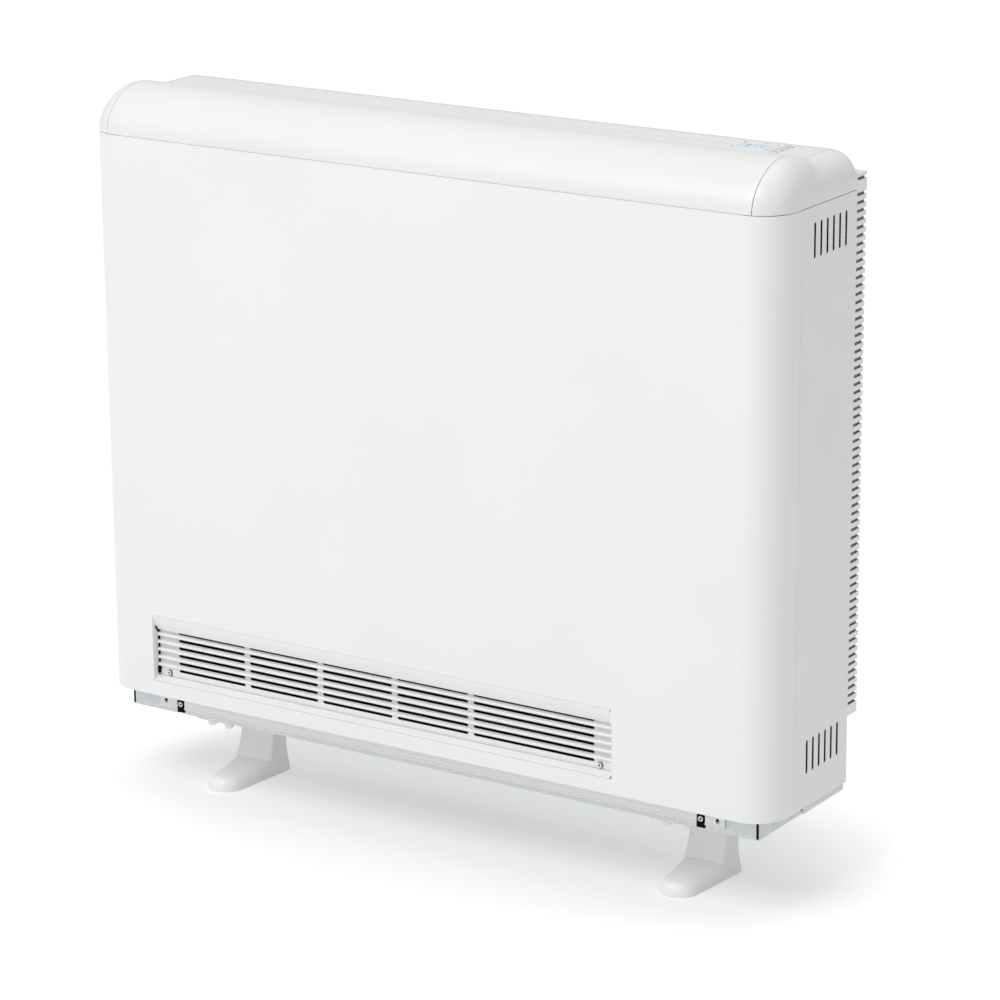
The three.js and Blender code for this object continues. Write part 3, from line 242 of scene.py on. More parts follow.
class Nodes:
    """A short way to add nodes to a material and to link them. A noise's scale is per metre."""

    def __init__(self, name):
        self.material = bpy.data.materials.new(name)
        self.material.use_nodes = True
        self.tree = self.material.node_tree
        self.shader = self.tree.nodes["Principled BSDF"]
        self.place = self.add("ShaderNodeTexCoord").outputs["Object"]

    def add(self, kind, **settings):
        node = self.tree.nodes.new(kind)
        for key, value in settings.items():
            setattr(node, key, value)
        return node

    def link(self, source, target):
        self.tree.links.new(source, target)

    def noise(self, scale, detail=2.0, stretch=(1, 1, 1)):
        spread = self.add("ShaderNodeMapping")
        spread.inputs["Scale"].default_value = stretch
        self.link(self.place, spread.inputs["Vector"])
        made = self.add("ShaderNodeTexNoise")
        made.inputs["Scale"].default_value = scale
        made.inputs["Detail"].default_value = detail
        self.link(spread.outputs["Vector"], made.inputs["Vector"])
        return made.outputs["Fac"]

    def cells(self, scale):
        made = self.add("ShaderNodeTexVoronoi")
        made.inputs["Scale"].default_value = scale
        self.link(self.place, made.inputs["Vector"])
        return made.outputs["Color"]

    def axis(self, name):
        """The object's own X, Y or Z, in metres."""
        split = self.add("ShaderNodeSeparateXYZ")
        self.link(self.place, split.inputs["Vector"])
        return split.outputs[name]

    def math(self, operation, first, second=None):
        made = self.add("ShaderNodeMath", operation=operation)
        for i, value in enumerate((first, second)):
            if value is None:
                continue
            if isinstance(value, (int, float)):
                made.inputs[i].default_value = value
            else:
                self.link(value, made.inputs[i])
        return made.outputs["Value"]

    def ramp(self, source, low, high, start=0.2, end=0.8):
        made = self.add("ShaderNodeMapRange", interpolation_type="SMOOTHSTEP")
        made.inputs["From Min"].default_value = start
        made.inputs["From Max"].default_value = end
        made.inputs["To Min"].default_value = low
        made.inputs["To Max"].default_value = high
        self.link(source, made.inputs["Value"])
        return made.outputs["Result"]

    def mix(self, factor, low, high):
        made = self.add("ShaderNodeMix", data_type="RGBA")
        self.link(factor, made.inputs["Factor"])
        for socket, colour in (("A", low), ("B", high)):
            target = [s for s in made.inputs if s.name == socket and s.type == "RGBA"][0]
            if isinstance(colour, tuple):
                target.default_value = (*colour, 1)
            else:
                self.link(colour, target)
        return [s for s in made.outputs if s.type == "RGBA"][0]

    def bump(self, height, distance, strength=1.0, over=None):
        made = self.add("ShaderNodeBump")
        made.inputs["Distance"].default_value = distance
        made.inputs["Strength"].default_value = strength
        self.link(height, made.inputs["Height"])
        if over is not None:
            self.link(over, made.inputs["Normal"])
        return made.outputs["Normal"]


def shade(colour, share):
    return tuple(min(1.0, c * share) for c in colour)


def painted(name, colour, roughness, peel=0.012, coat=0.0, shade_mask=None, toned=None):
    """Enamelled steel or glossy plastic: a faint cloudiness and orange peel.

    A shade mask marks inner faces and recesses, which are painted near black as shade. toned makes a mask
    of the places that are painted a warm grey as shade, along folds and in valleys.
    """
    nodes = Nodes(name)
    cloud = nodes.noise(7, 1)
    tone = nodes.mix(nodes.ramp(cloud, 0, 1), shade(colour, 0.988), shade(colour, 1.008))
    if toned is not None:
        tone = nodes.mix(toned(nodes), tone, WARM_GREY)
    if shade_mask is not None:
        tone = nodes.mix(shade_mask(nodes), tone, SHADE_DARK)
    nodes.link(tone, nodes.shader.inputs["Base Color"])
    patch = nodes.noise(23, 1)
    nodes.link(nodes.ramp(patch, roughness * 0.88, roughness * 1.12), nodes.shader.inputs["Roughness"])
    orange = nodes.noise(420, 1)
    wave = nodes.noise(34, 1)
    slow = nodes.bump(wave, 0.05 * MM, 0.25)
    nodes.link(nodes.bump(orange, peel * MM, 0.5, slow), nodes.shader.inputs["Normal"])
    nodes.shader.inputs["Coat Weight"].default_value = coat
    nodes.shader.inputs["Coat Roughness"].default_value = COAT_ROUGHNESS
    return nodes.material


def moulded(name, colour, roughness, shine=0.5):
    """Matt moulded plastic with a fine spark-eroded grain and rubbed patches."""
    nodes = Nodes(name)
    nodes.shader.inputs["Specular IOR Level"].default_value = shine
    tone = nodes.mix(nodes.ramp(nodes.noise(16, 4), 0, 1), shade(colour, 0.95), shade(colour, 1.03))
    nodes.link(tone, nodes.shader.inputs["Base Color"])
    rub = nodes.ramp(nodes.noise(60, 3), roughness * 0.85, roughness * 1.15)
    nodes.link(rub, nodes.shader.inputs["Roughness"])
    nodes.link(nodes.bump(nodes.noise(1500, 2), 0.03 * MM, 0.6), nodes.shader.inputs["Normal"])
    return nodes.material


def galvanised_steel(name, colour, shade_colour, roughness):
    """Fine zinc spangle with upright brushing, and painted shade, near black, inside the covers."""
    nodes = Nodes(name)
    nodes.shader.inputs["Metallic"].default_value = 0.35
    crystal = nodes.add("ShaderNodeSeparateColor")
    nodes.link(nodes.cells(720), crystal.inputs["Color"])
    grain = nodes.mix(crystal.outputs["Red"], shade(colour, 0.9), shade(colour, 1.07))
    brushed = nodes.ramp(nodes.noise(900, 3, (1, 1, 0.06)), 0.0, 0.5)
    tone = nodes.mix(brushed, grain, shade(colour, 1.08))
    from_middle = nodes.math("ABSOLUTE", nodes.axis("X"))
    inner = nodes.math("LESS_THAN", from_middle, SHADE_HALF)
    upper = nodes.math("GREATER_THAN", nodes.axis("Z"), SHADE_BASE)
    shaded_inside = nodes.math("MULTIPLY", inner, upper)
    in_front = nodes.math("LESS_THAN", nodes.axis("Y"), SHADE_REAR)
    at_side = nodes.math("GREATER_THAN", from_middle, SHADE_SIDE)
    shaded_inside = nodes.math("MULTIPLY", shaded_inside, nodes.math("MAXIMUM", in_front, at_side))
    nodes.link(nodes.mix(shaded_inside, tone, shade_colour), nodes.shader.inputs["Base Color"])
    gloss = nodes.ramp(crystal.outputs["Green"], roughness * 0.85, roughness * 1.2, 0, 1)
    nodes.link(gloss, nodes.shader.inputs["Roughness"])
    nodes.link(nodes.bump(nodes.noise(700, 3), 0.015 * MM, 0.5), nodes.shader.inputs["Normal"])
    return nodes.material


def drawn_metal(name, colour, roughness, shade_mask=None):
    """Plain metal with fine marks drawn out along one way, and painted shade, near black, where the shade
    mask says.
    """
    nodes = Nodes(name)
    nodes.shader.inputs["Metallic"].default_value = 0.9
    marks = nodes.noise(240, 4, (1, 14, 14))
    tone = nodes.mix(nodes.ramp(marks, 0, 1), shade(colour, 0.82), shade(colour, 1.1))
    if shade_mask is not None:
        tone = nodes.mix(shade_mask(nodes), tone, SHADE_DARK)
    nodes.link(tone, nodes.shader.inputs["Base Color"])
    nodes.link(nodes.ramp(marks, roughness * 0.8, roughness * 1.3), nodes.shader.inputs["Roughness"])
    nodes.link(nodes.bump(marks, 0.02 * MM, 0.5), nodes.shader.inputs["Normal"])
    return nodes.material


def rough_mineral(name, colour, speck, scale, depth):
    """Pressed or fired mineral: coarse grain, dark specks and a dry surface."""
    nodes = Nodes(name)
    grain = nodes.noise(scale, 6)
    base = nodes.mix(nodes.ramp(grain, 0, 1), shade(colour, 0.8), shade(colour, 1.15))
    specks = nodes.ramp(nodes.noise(scale * 4, 2), 0, 1, 0.6, 0.68)
    nodes.link(nodes.mix(specks, base, speck), nodes.shader.inputs["Base Color"])
    nodes.shader.inputs["Roughness"].default_value = 0.92
    nodes.link(nodes.bump(grain, depth * MM, 0.8), nodes.shader.inputs["Normal"])
    return nodes.material


def side_panel_inner_shade(nodes):
    """The inner faces of a side panel, everything behind its outer sheet's face, which are painted near black
    as shade.
    """
    inside = nodes.math("LESS_THAN", nodes.math("ABSOLUTE", nodes.axis("X")), HALF - WHITE_WRAP)
    return nodes.math("MULTIPLY", inside, nodes.math("LESS_THAN", nodes.axis("Y"), DECK_REAR - WHITE_WRAP))


def grille_back_shade(nodes):
    """The outlet grille's slots and back, painted near black as shade."""
    return nodes.math("GREATER_THAN", nodes.axis("Y"), FRONT + GRILLE_SETBACK + WHITE_WRAP)


def grille_valleys(nodes):
    """The outlet grille's ground between its ridges, painted a warm grey as shade."""
    ground = FRONT + GRILLE_SETBACK
    deep = nodes.ramp(nodes.axis("Y"), 0, VALLEY_SHADE_SHARE, ground - RIDGE_HEIGHT, ground)
    return nodes.math("MULTIPLY", deep, nodes.math("GREATER_THAN", nodes.axis("Z"), LAST_RIDGE))


def outlet_folds(nodes):
    """Hairlines of painted shade along the two folds of the outlet opening."""
    across = nodes.math("SUBTRACT", nodes.axis("X"), (OUTLET_LEFT + OUTLET_RIGHT) / 2)
    inside = nodes.math("LESS_THAN", nodes.math("ABSOLUTE", across), (OUTLET_RIGHT - OUTLET_LEFT) / 2)
    lines = []
    for z in (OUTLET_BASE, OUTLET_TOP):
        offset = nodes.math("ABSOLUTE", nodes.math("SUBTRACT", nodes.axis("Z"), z))
        lines.append(nodes.math("LESS_THAN", offset, FOLD_LINE))
    line = nodes.math("MULTIPLY", nodes.math("MAXIMUM", *lines), inside)
    return nodes.math("MULTIPLY", line, FOLD_SHARE)


def screw_recess_shade(front):
    """Makes the mask of everything deeper than the face of a screw's head, painted near black as shade in the
    recess.
    """
    def mask(nodes):
        return nodes.math("GREATER_THAN", nodes.axis("Y"), front + RECESS_START)
    return mask


materials = {
    "white_paint": painted("white_paint", WHITE, 0.34),
    "panel_paint": painted("panel_paint", WHITE, 0.34, toned=outlet_folds),
    "grille_paint": painted("grille_paint", WHITE, 0.34, shade_mask=grille_back_shade, toned=grille_valleys),
    "side_paint": painted("side_paint", SIDE_WHITE, 0.4, shade_mask=side_panel_inner_shade),
    "lid_plastic": painted("lid_plastic", LID_WHITE, 0.33, peel=0.004, coat=0.06),
    "strip_paint": painted("strip_paint", (0.9, 0.885, 0.88), 0.45),
    # its second colour is painted shade, near black, on the parts inside the covers
    "galvanised": galvanised_steel("galvanised", (0.60, 0.64, 0.66), (0.03, 0.028, 0.027), 0.4),
    # a grey sheet of painted shade behind the rear grille's louvres
    "shade_grey_sheet": moulded("shade_grey_sheet", (0.36, 0.36, 0.36), 0.6),
    "foot_plastic": moulded("foot_plastic", (0.93, 0.92, 0.905), 0.42),
    "screw_steel": drawn_metal("screw_steel", (0.62, 0.62, 0.61), 0.3,
                               shade_mask=screw_recess_shade(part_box("strip_screw_left")[0].y)),
    "screw_white": painted("screw_white", WHITE, 0.33, shade_mask=screw_recess_shade(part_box("grille_screw_left")[0].y)),
    "display_glass": painted("display_glass", (0.66, 0.8, 0.92), 0.12, peel=0.001, coat=0.6),
    "display_mark": moulded("display_mark", (0.16, 0.2, 0.26), 0.5),
    "key_rubber": moulded("key_rubber", (0.74, 0.735, 0.735), 0.6),
    "key_mark": moulded("key_mark", (0.24, 0.24, 0.25), 0.6),
    # near black and pale grey, for the pieces of painted shade in gaps, slits and behind slots
    "shade_black": moulded("shade_black", (0.006, 0.006, 0.006), 0.9, shine=0.08),
    "shade_pale": moulded("shade_pale", (0.6, 0.575, 0.55), 0.7),
    "board_green": moulded("board_green", (0.03, 0.14, 0.06), 0.5),
    "insulation": rough_mineral("insulation", (0.64, 0.61, 0.54), (0.5, 0.47, 0.41), 90, 0.4),
    "brick": rough_mineral("brick", (0.12, 0.085, 0.065), (0.03, 0.03, 0.03), 140, 0.3),
    "element_steel": drawn_metal("element_steel", (0.18, 0.16, 0.15), 0.5),
    "fan_steel": drawn_metal("fan_steel", (0.2, 0.21, 0.22), 0.4),
    "motor_black": moulded("motor_black", (0.012, 0.012, 0.013), 0.6, shine=0.2),
    "bearing_brass": drawn_metal("bearing_brass", (0.5, 0.33, 0.12), 0.35),
    "black_plastic": moulded("black_plastic", (0.012, 0.012, 0.012), 0.6, shine=0.2),
}
glass = materials["display_glass"].node_tree.nodes["Principled BSDF"]
glass.inputs["Emission Color"].default_value = (0.6, 0.8, 1.0, 1)
glass.inputs["Emission Strength"].default_value = 0.1

# Nodes that have a material of their own within their slot, for the painted shade in their folds, valleys,
# slots and recesses
NODE_MATERIALS = {
    "front_panel": "panel_paint",
    "outlet_grille": "grille_paint",
    "grille_screw_left": "screw_white",
    "grille_screw_right": "screw_white",
}

# ------------------------------------------------------------------ CAD nodes that stay

NODE_EDGE = 0.35 * MM
FLAT_ANGLE = 0.5  # degrees up to which neighbouring facets count as one flat face

node_slots = {row["node"]: row["material_slot"] for row in frame["record"]["subparts"]}


def dress_node(name):
    """Merges flat facets, rounds the edges a little and gives the node its material."""
    made = frame["nodes"][name]
    made.data.materials.clear()
    made.data.materials.append(materials[NODE_MATERIALS.get(name, node_slots[name])])
    for face in made.data.polygons:
        face.use_smooth = True
    weld = made.modifiers.new("weld", "WELD")
    weld.merge_threshold = POINT_MERGE
    flat = made.modifiers.new("flat", "DECIMATE")
    flat.decimate_type = "DISSOLVE"
    flat.angle_limit = math.radians(FLAT_ANGLE)
    add_bevel(made, NODE_EDGE, 2, 35)
    weight = made.modifiers.new("weight", "WEIGHTED_NORMAL")
    weight.keep_sharp = True
    weight.weight = 80


# ------------------------------------------------------------------ lid


def lid_share(x):
    """The lid's rise at x, as a share of its rise in the middle."""
    over = (abs(x) - (HALF - END_RADIUS)) / END_RADIUS
    if over <= 0:
        return 1.0
    over = min(over, 1.0)
    return max(LEAST_SHARE, (1 - over**END_SQUARENESS) ** (1 / END_SQUARENESS))


def lid_front(x):
    over = abs(x) - (HALF - CORNER_RADIUS)
    if over <= 0:
        return FRONT
    return FRONT + CORNER_RADIUS - math.sqrt(max(0.0, CORNER_RADIUS**2 - over**2))


def lid_profile(x):
    """The lid's section at x: up the rounded nose, down to the crease, back over the deck and down."""
    share = lid_share(x)
    front = lid_front(x)
    crest = FRONT + NOSE_REACH
    power = 2 / NOSE_SQUARENESS
    points = [(x, front, LID_BASE), (x, front, LID_LEVEL)]
    front_steps = 30
    for i in range(1, front_steps + 1):
        angle = math.pi / 2 * i / front_steps
        across = math.cos(angle) ** power if i < front_steps else 0.0
        up = math.sin(angle) ** power
        points.append((x, crest - (crest - front) * across, LID_LEVEL + NOSE_RISE * share * up))
    crease = math.asin(DECK_RISE / NOSE_RISE)
    rear_steps = 10
    for i in range(1, rear_steps + 1):
        angle = math.pi / 2 + (crease - math.pi / 2) * i / rear_steps
        y = crest + NOSE_FALL * share * math.cos(angle)
        points.append((x, y, LID_LEVEL + NOSE_RISE * share * math.sin(angle)))
    start = points[-1][1]
    top = LID_LEVEL + DECK_RISE * share
    deck_steps = 6
    for i in range(1, deck_steps + 1):
        points.append((x, start + (DECK_REAR - start) * i / deck_steps, top))
    points.append((x, DECK_REAR, LID_LEVEL))
    points.append((x, DECK_REAR, LID_BASE))
    return points


def lid_stations(start, end):
    """Places along x, close together where the lid rounds off."""
    stations = [start]
    steps = 36
    for i in range(steps + 1):
        x = HALF - CORNER_RADIUS + CORNER_RADIUS * math.sin(math.pi / 2 * i / steps)
        if start < x < end:
            stations.append(x)
    stations.append(end)
    return stations


def lid_skin(name, stations, close_end=None):
    profiles = [lid_profile(x) for x in stations]
    count = len(profiles[0])
    vertices = [point for profile in profiles for point in profile]
    faces = []
    for r in range(len(profiles) - 1):
        for i in range(count - 1):
            a = r * count + i
            faces.append((a, a + 1, a + 1 + count, a + count))
    if close_end is not None:
        first = close_end * count
        faces.append(tuple(range(first, first + count)))
    made = outward(new_object(name, vertices, faces))
    if made.data.polygons[0].normal.y > 0:
        made.data.flip_normals()
    wall = made.modifiers.new("wall", "SOLIDIFY")
    wall.thickness = LID_WALL
    wall.offset = -1
    wall.use_even_offset = True
    return apply_modifiers(made)


def lid_cover():
    ends = [x for x in lid_stations(0, COVER_END) if x > 0]
    stations = [-x for x in reversed(ends)] + ends
    made = lid_skin("lid_cover_skin", stations)
    reach = Vector((HOLE_CLEARANCE, HOLE_CLEARANCE, 0))
    for node in ("display_window", "key_1", "key_2", "key_3", "key_4"):
        low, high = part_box(node)
        if node.startswith("key"):
            middle = (low + high) / 2
            low = middle - KEY_HOLE_HALF
            high = middle + KEY_HOLE_HALF
        cutter = box_object("cutter", (low - reach)[:2] + (DECK_TOP - 2 * LID_WALL,),
                            (high + reach)[:2] + (DECK_TOP + LID_WALL,))
        hole = made.modifiers.new("hole", "BOOLEAN")
        hole.operation = "DIFFERENCE"
        hole.solver = "EXACT"
        hole.object = cutter
        apply_modifiers(made)
        remove(cutter)
    edge_bevel(made, LID_EDGE)
    smooth(made)
    finish_piece(made, BODY, materials["lid_plastic"])
    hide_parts("lid_cover")


def lid_end_cap(side, node):
    stations = lid_stations(CAP_SEAM + SEAM_WIDENING, HALF)
    if side < 0:
        stations = [-x for x in reversed(stations)]
    closed = len(stations) - 1 if side > 0 else 0
    made = lid_skin(node + "_skin", stations, closed)
    edge_bevel(made, LID_EDGE)
    smooth(made)
    finish_piece(made, BODY, materials["lid_plastic"])
    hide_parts(node)


lid_cover()
lid_end_cap(-1, "lid_end_cap_left")
lid_end_cap(1, "lid_end_cap_right")

# ------------------------------------------------------------------ feet

FOOT_OFFSET = 272.4 * MM  # middle of the heater to the middle of a foot
FOOT_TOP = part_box("foot_right")[1].z
FOOT_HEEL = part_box("foot_right")[1].y
UPRIGHT_HALF = 21 * MM
UPRIGHT_ROUND = 3.5 * MM
HEEL_FLARE = 5 * MM
FLARE_HEIGHT = 13 * MM
TOE_TIP = 24.3 * MM  # distances from the front face's plane
TOE_REAR = 108 * MM
TOE_HALF = 19.6 * MM
TOE_ROUND_LENGTH = 20 * MM
TOE_NOSE_LENGTH = 12 * MM
TOE_SPREAD = 0.09  # how fast the toe widens behind its round tip
FOOT_PLATE = (24 * MM, 116 * MM, 3 * MM)  # front, rear and thickness of the plate under the tray
LUG_RADIUS = 5 * MM
LUG_MIDDLES = (-9.1 * MM, 12.1 * MM)  # from the foot's middle
LUG_DEPTH = 34.5 * MM
LUG_THICKNESS = 4 * MM
LUG_DROP = 6.2 * MM  # foot's top to the middle of a lug's round end
LUG_ROOT = 1 * MM  # foot's top to the top of a lug, inside the plate
FOOT_EDGE = 0.6 * MM
SLIVER = 0.12 * MM  # the joined forms' points that lie closer than this are merged
EASING = 4  # millimetres of height each way over which the upright's front is smoothed
# Height and distance from the front face of the upright's front, in millimetres
KNEE = (17.7, 87.9)
UPRIGHT_FRONT = [(0, 104.5), (9, 96), KNEE, (22, 91.2), (30, 94.3), (40, 97.3), (55, 99.3), (79.7, 100.5)]
# Distance from the front face and height of the toe's ridge, and the squareness of its section
TOE_TOP = [(24.3, 13.8), (50, 14), (64, 14.6), (74, 15.6), (82, 16.8), (88.9, 18.2), (108, 18.2)]
TOE_SQUARENESS = [(24.3, 2.6), (87.9, 4.5), (108, 2.5)]


def along(points, place):
    """Value at a place along a list of points, on straight lines between them."""
    for (start, low), (end, high) in zip(points, points[1:]):
        if place <= end:
            return low + (high - low) * (place - start) / (end - start)
    return points[-1][1]


def spaced(places, steps):
    """The places with more of them in between."""
    made = []
    for start, end in zip(places, places[1:]):
        made += [start + (end - start) * i / steps for i in range(steps)]
    return made + [places[-1]]


def round_share(share, squareness):
    rest = 1 - min(share, 1.0)
    return (1 - rest**squareness) ** (1 / squareness)


def upright_front(z):
    """The upright's front at a height, in millimetres, smoothed above the knee."""
    start = KNEE[0]
    end = UPRIGHT_FRONT[-1][0]
    if not start + EASING < z < end - EASING:
        return along(UPRIGHT_FRONT, z)
    steps = 60
    samples = [start + (end - start) * i / steps for i in range(steps + 1)]
    near = [along(UPRIGHT_FRONT, sample) for sample in samples if abs(sample - z) < EASING]
    return sum(near) / len(near)


def upright_ring(x, z):
    half = UPRIGHT_HALF + HEEL_FLARE / (1 + (z / FLARE_HEIGHT) ** 2) - UPRIGHT_ROUND
    near = FRONT + upright_front(z / MM) * MM + UPRIGHT_ROUND
    far = FOOT_HEEL - UPRIGHT_ROUND
    steps = 6
    ring = []
    corners = ((-half, near, 180), (half, near, 270), (half, far, 0), (-half, far, 90))
    for middle_x, middle_y, first in corners:
        for i in range(steps + 1):
            angle = math.radians(first + 90 * i / steps)
            ring.append((x + middle_x + UPRIGHT_ROUND * math.cos(angle),
                         middle_y + UPRIGHT_ROUND * math.sin(angle), z))
    return ring


def toe_section(x, depth):
    """A section across the toe at a distance from the front face, flat on the floor and round above."""
    steps = 48
    tip = depth - TOE_TIP
    behind = max(0.0, tip - TOE_ROUND_LENGTH)
    half = (TOE_HALF + TOE_SPREAD * behind) * round_share(tip / TOE_ROUND_LENGTH, 2)
    squareness = along(TOE_SQUARENESS, depth / MM)
    high = along(TOE_TOP, depth / MM) * MM * round_share(tip / TOE_NOSE_LENGTH, squareness)
    power = 2 / squareness
    ring = []
    for i in range(steps + 1):
        angle = math.pi * i / steps
        across = math.copysign(abs(math.cos(angle)) ** power, math.cos(angle))
        ring.append((x + half * across, FRONT + depth, high * max(0.0, math.sin(angle)) ** power))
    return ring


def toe_depths():
    """Distances from the front face, close together at the tip."""
    steps = 30
    first = 0.3  # of a step, so that the tip's section isn't a point
    angles = [math.pi / 2 * (i + first) / steps for i in range(steps)]
    nose = [TOE_TIP + TOE_ROUND_LENGTH * (1 - math.cos(angle)) for angle in angles]
    return nose + spaced([TOE_TIP + TOE_ROUND_LENGTH, TOE_REAR], 40)


def joined(first, *others):
    for other in others:
        union = first.modifiers.new("union", "BOOLEAN")
        union.operation = "UNION"
        union.solver = "EXACT"
        union.object = other
        apply_modifiers(first)
        remove(other)
    return first


def foot_lug(x):
    front = FRONT + LUG_DEPTH - LUG_THICKNESS / 2
    middle = FOOT_TOP - LUG_DROP
    steps = 20
    ends = [math.pi + math.pi * i / steps for i in range(steps + 1)]
    outline = [(x + LUG_RADIUS * math.cos(a), middle + LUG_RADIUS * math.sin(a)) for a in ends]
    outline += [(x + LUG_RADIUS, FOOT_TOP - LUG_ROOT), (x - LUG_RADIUS, FOOT_TOP - LUG_ROOT)]
    rings = [[(u, y, v) for u, v in outline] for y in (front, front + LUG_THICKNESS)]
    return rings_object("lug", rings)


def foot(side, node):
    x = side * FOOT_OFFSET
    heights = [z * MM for z in spaced([point[0] for point in UPRIGHT_FRONT], 8)]
    made = rings_object(node + "_moulded", [upright_ring(x, z) for z in heights])
    toe = rings_object("toe", [toe_section(x, depth) for depth in toe_depths()])
    front, rear, thickness = FOOT_PLATE
    plate = box_object("plate", (x - UPRIGHT_HALF, FRONT + front, FOOT_TOP - thickness),
                       (x + UPRIGHT_HALF, FRONT + rear, FOOT_TOP))
    joined(made, toe, plate, *[foot_lug(x + middle) for middle in LUG_MIDDLES])
    merge_slivers(made, SLIVER)
    edge_bevel(made, FOOT_EDGE, 3, 32)
    merge_slivers(made, POINT_MERGE)
    smooth(made, 40)
    finish_piece(made, BODY, materials["foot_plastic"])
    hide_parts(node)


foot(-1, "foot_left")
foot(1, "foot_right")

# ------------------------------------------------------------------ display and keys

MARK_HEIGHT = 0.06 * MM
window_low, window_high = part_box("display_window")
SCREEN = (window_low + window_high) / 2
DIGIT_WIDTH = 3.4 * MM
DIGIT_HEIGHT = 6.4 * MM
STROKE = 0.8 * MM
DIGIT_BASE = -3 * MM  # from the screen's middle
DIGIT_PLACES = {"2": -9 * MM, "1": -3.6 * MM}  # each digit's left edge from the screen's middle
SIGN_PLACES = ((6, 2.6), (9.4, 2.6), (7.7, -3.4))  # millimetres from the screen's middle
SIGN_HALF = (1 * MM, 0.9 * MM)
TICK_OFFSET = (2.6 * MM, 1.4 * MM)  # from the screen's corner
TICK_HALF = (1.3 * MM, 0.8 * MM)
RULE_OFFSET = (5.5 * MM, 3 * MM)  # from the middle of the screen's rear edge
RULE_HALF = (2.5 * MM, 0.7 * MM)
LEGEND_PITCH = 2.6 * MM
LEGEND_HALF = 0.7 * MM
LEGEND_REACHES = (0.9 * MM, 1.2 * MM)  # a legend's strokes are long and short in turn
# Lit segments of each digit
SEGMENTS = {"2": "top upper_right middle lower_left bottom", "1": "upper_right lower_right"}


def joined_boxes(name, boxes, material, body=BODY):
    """One flat piece from several boxes given as low and high corners."""
    vertices = []
    faces = []
    for low, high in boxes:
        first = len(vertices)
        vertices += box_corners(low, high)
        faces += [tuple(first + i for i in face) for face in BOX_FACES]
    made = outward(new_object(name, vertices, faces))
    return finish_piece(made, body, material)


def flat_mark(x0, y0, x1, y1, top):
    return ((x0, y0, top), (x1, y1, top + MARK_HEIGHT))


def centred_mark(x, y, half, top):
    return flat_mark(x - half[0], y - half[1], x + half[0], y + half[1], top)


def digit(symbol, x, y, top):
    """The boxes of one seven-segment digit whose lower left corner is at x, y."""
    right = x + DIGIT_WIDTH
    middle = y + DIGIT_HEIGHT / 2
    high = y + DIGIT_HEIGHT
    half = STROKE / 2
    places = {
        "top": (x, high - half, right, high + half),
        "middle": (x, middle - half, right, middle + half),
        "bottom": (x, y - half, right, y + half),
        "upper_left": (x - half, middle, x + half, high),
        "upper_right": (right - half, middle, right + half, high),
        "lower_left": (x - half, y, x + half, middle),
        "lower_right": (right - half, y, right + half, middle),
    }
    return [flat_mark(*places[name], top) for name in SEGMENTS[symbol].split()]


def display_marks():
    """A generic number and three small signs on the window."""
    top = window_high.z
    boxes = []
    for symbol, x in DIGIT_PLACES.items():
        boxes += digit(symbol, SCREEN.x + x, SCREEN.y + DIGIT_BASE, top)
    for x, y in SIGN_PLACES:
        boxes.append(centred_mark(SCREEN.x + x * MM, SCREEN.y + y * MM, SIGN_HALF, top))
    joined_boxes("display_digits", boxes, materials["display_mark"])


def deck_marks():
    """Small printed ticks on the deck at the window's corners, and one behind it."""
    half = (window_high - window_low) / 2
    boxes = []
    for side_x in (-1, 1):
        for side_y in (-1, 1):
            x = SCREEN.x + side_x * (half.x + TICK_OFFSET[0])
            y = SCREEN.y + side_y * (half.y + TICK_OFFSET[1])
            boxes.append(centred_mark(x, y, TICK_HALF, DECK_TOP))
    x = SCREEN.x + RULE_OFFSET[0]
    y = SCREEN.y + half.y + RULE_OFFSET[1]
    boxes.append(centred_mark(x, y, RULE_HALF, DECK_TOP))
    joined_boxes("deck_marks", boxes, materials["key_mark"])


def key_marks():
    """A legend of three small strokes on each key."""
    for i in range(1, 5):
        key = f"key_{i}"
        low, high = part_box(key)
        middle = (low + high) / 2
        boxes = []
        for k in range(-1, 2):
            half = (LEGEND_HALF, LEGEND_REACHES[(i + k) % 2])
            boxes.append(centred_mark(middle.x + LEGEND_PITCH * k, middle.y, half, high.z))
        joined_boxes(f"{key}_legend", boxes, materials["key_mark"], f"{key}_body")


display_marks()
deck_marks()
key_marks()

# ------------------------------------------------------------------ painted shade in gaps, slits and behind louvres, and the brow's corner

GRILLE_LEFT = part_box("outlet_grille")[0].x
PARTING_DEPTH = 0.3 * MM  # the covers' faces to the dark strip of painted shade behind them
PARTING_INSET = 0.06 * MM
SHADE_STRIP_THICKNESS = 1 * MM
SIDE_GAP_SHADE_START = 45 * MM  # front face to the dark strip of painted shade along the side
CORNER_GAP_SHADE_START = 28  # degrees round the corner, from the side
CORNER_GAP_SHADE_SWEEP = 24
GRILLE_SHADE_DEPTHS = (8.7 * MM, 9.9 * MM)  # from the front face
GRILLE_SHADE_HEIGHTS = (125 * MM, 178 * MM)
GRILLE_SHADE_INSET = 0.1 * MM
GRILLE_SHADE_WIDTH = 1.5 * MM
SHADOW_SPOT_MIDDLE = Vector((GRILLE_LEFT + 0.5 * MM, FRONT + 8.3 * MM, 128.8 * MM))
SHADOW_SPOT_HALF = Vector((1.9 * MM, 1.5 * MM, 4.6 * MM))
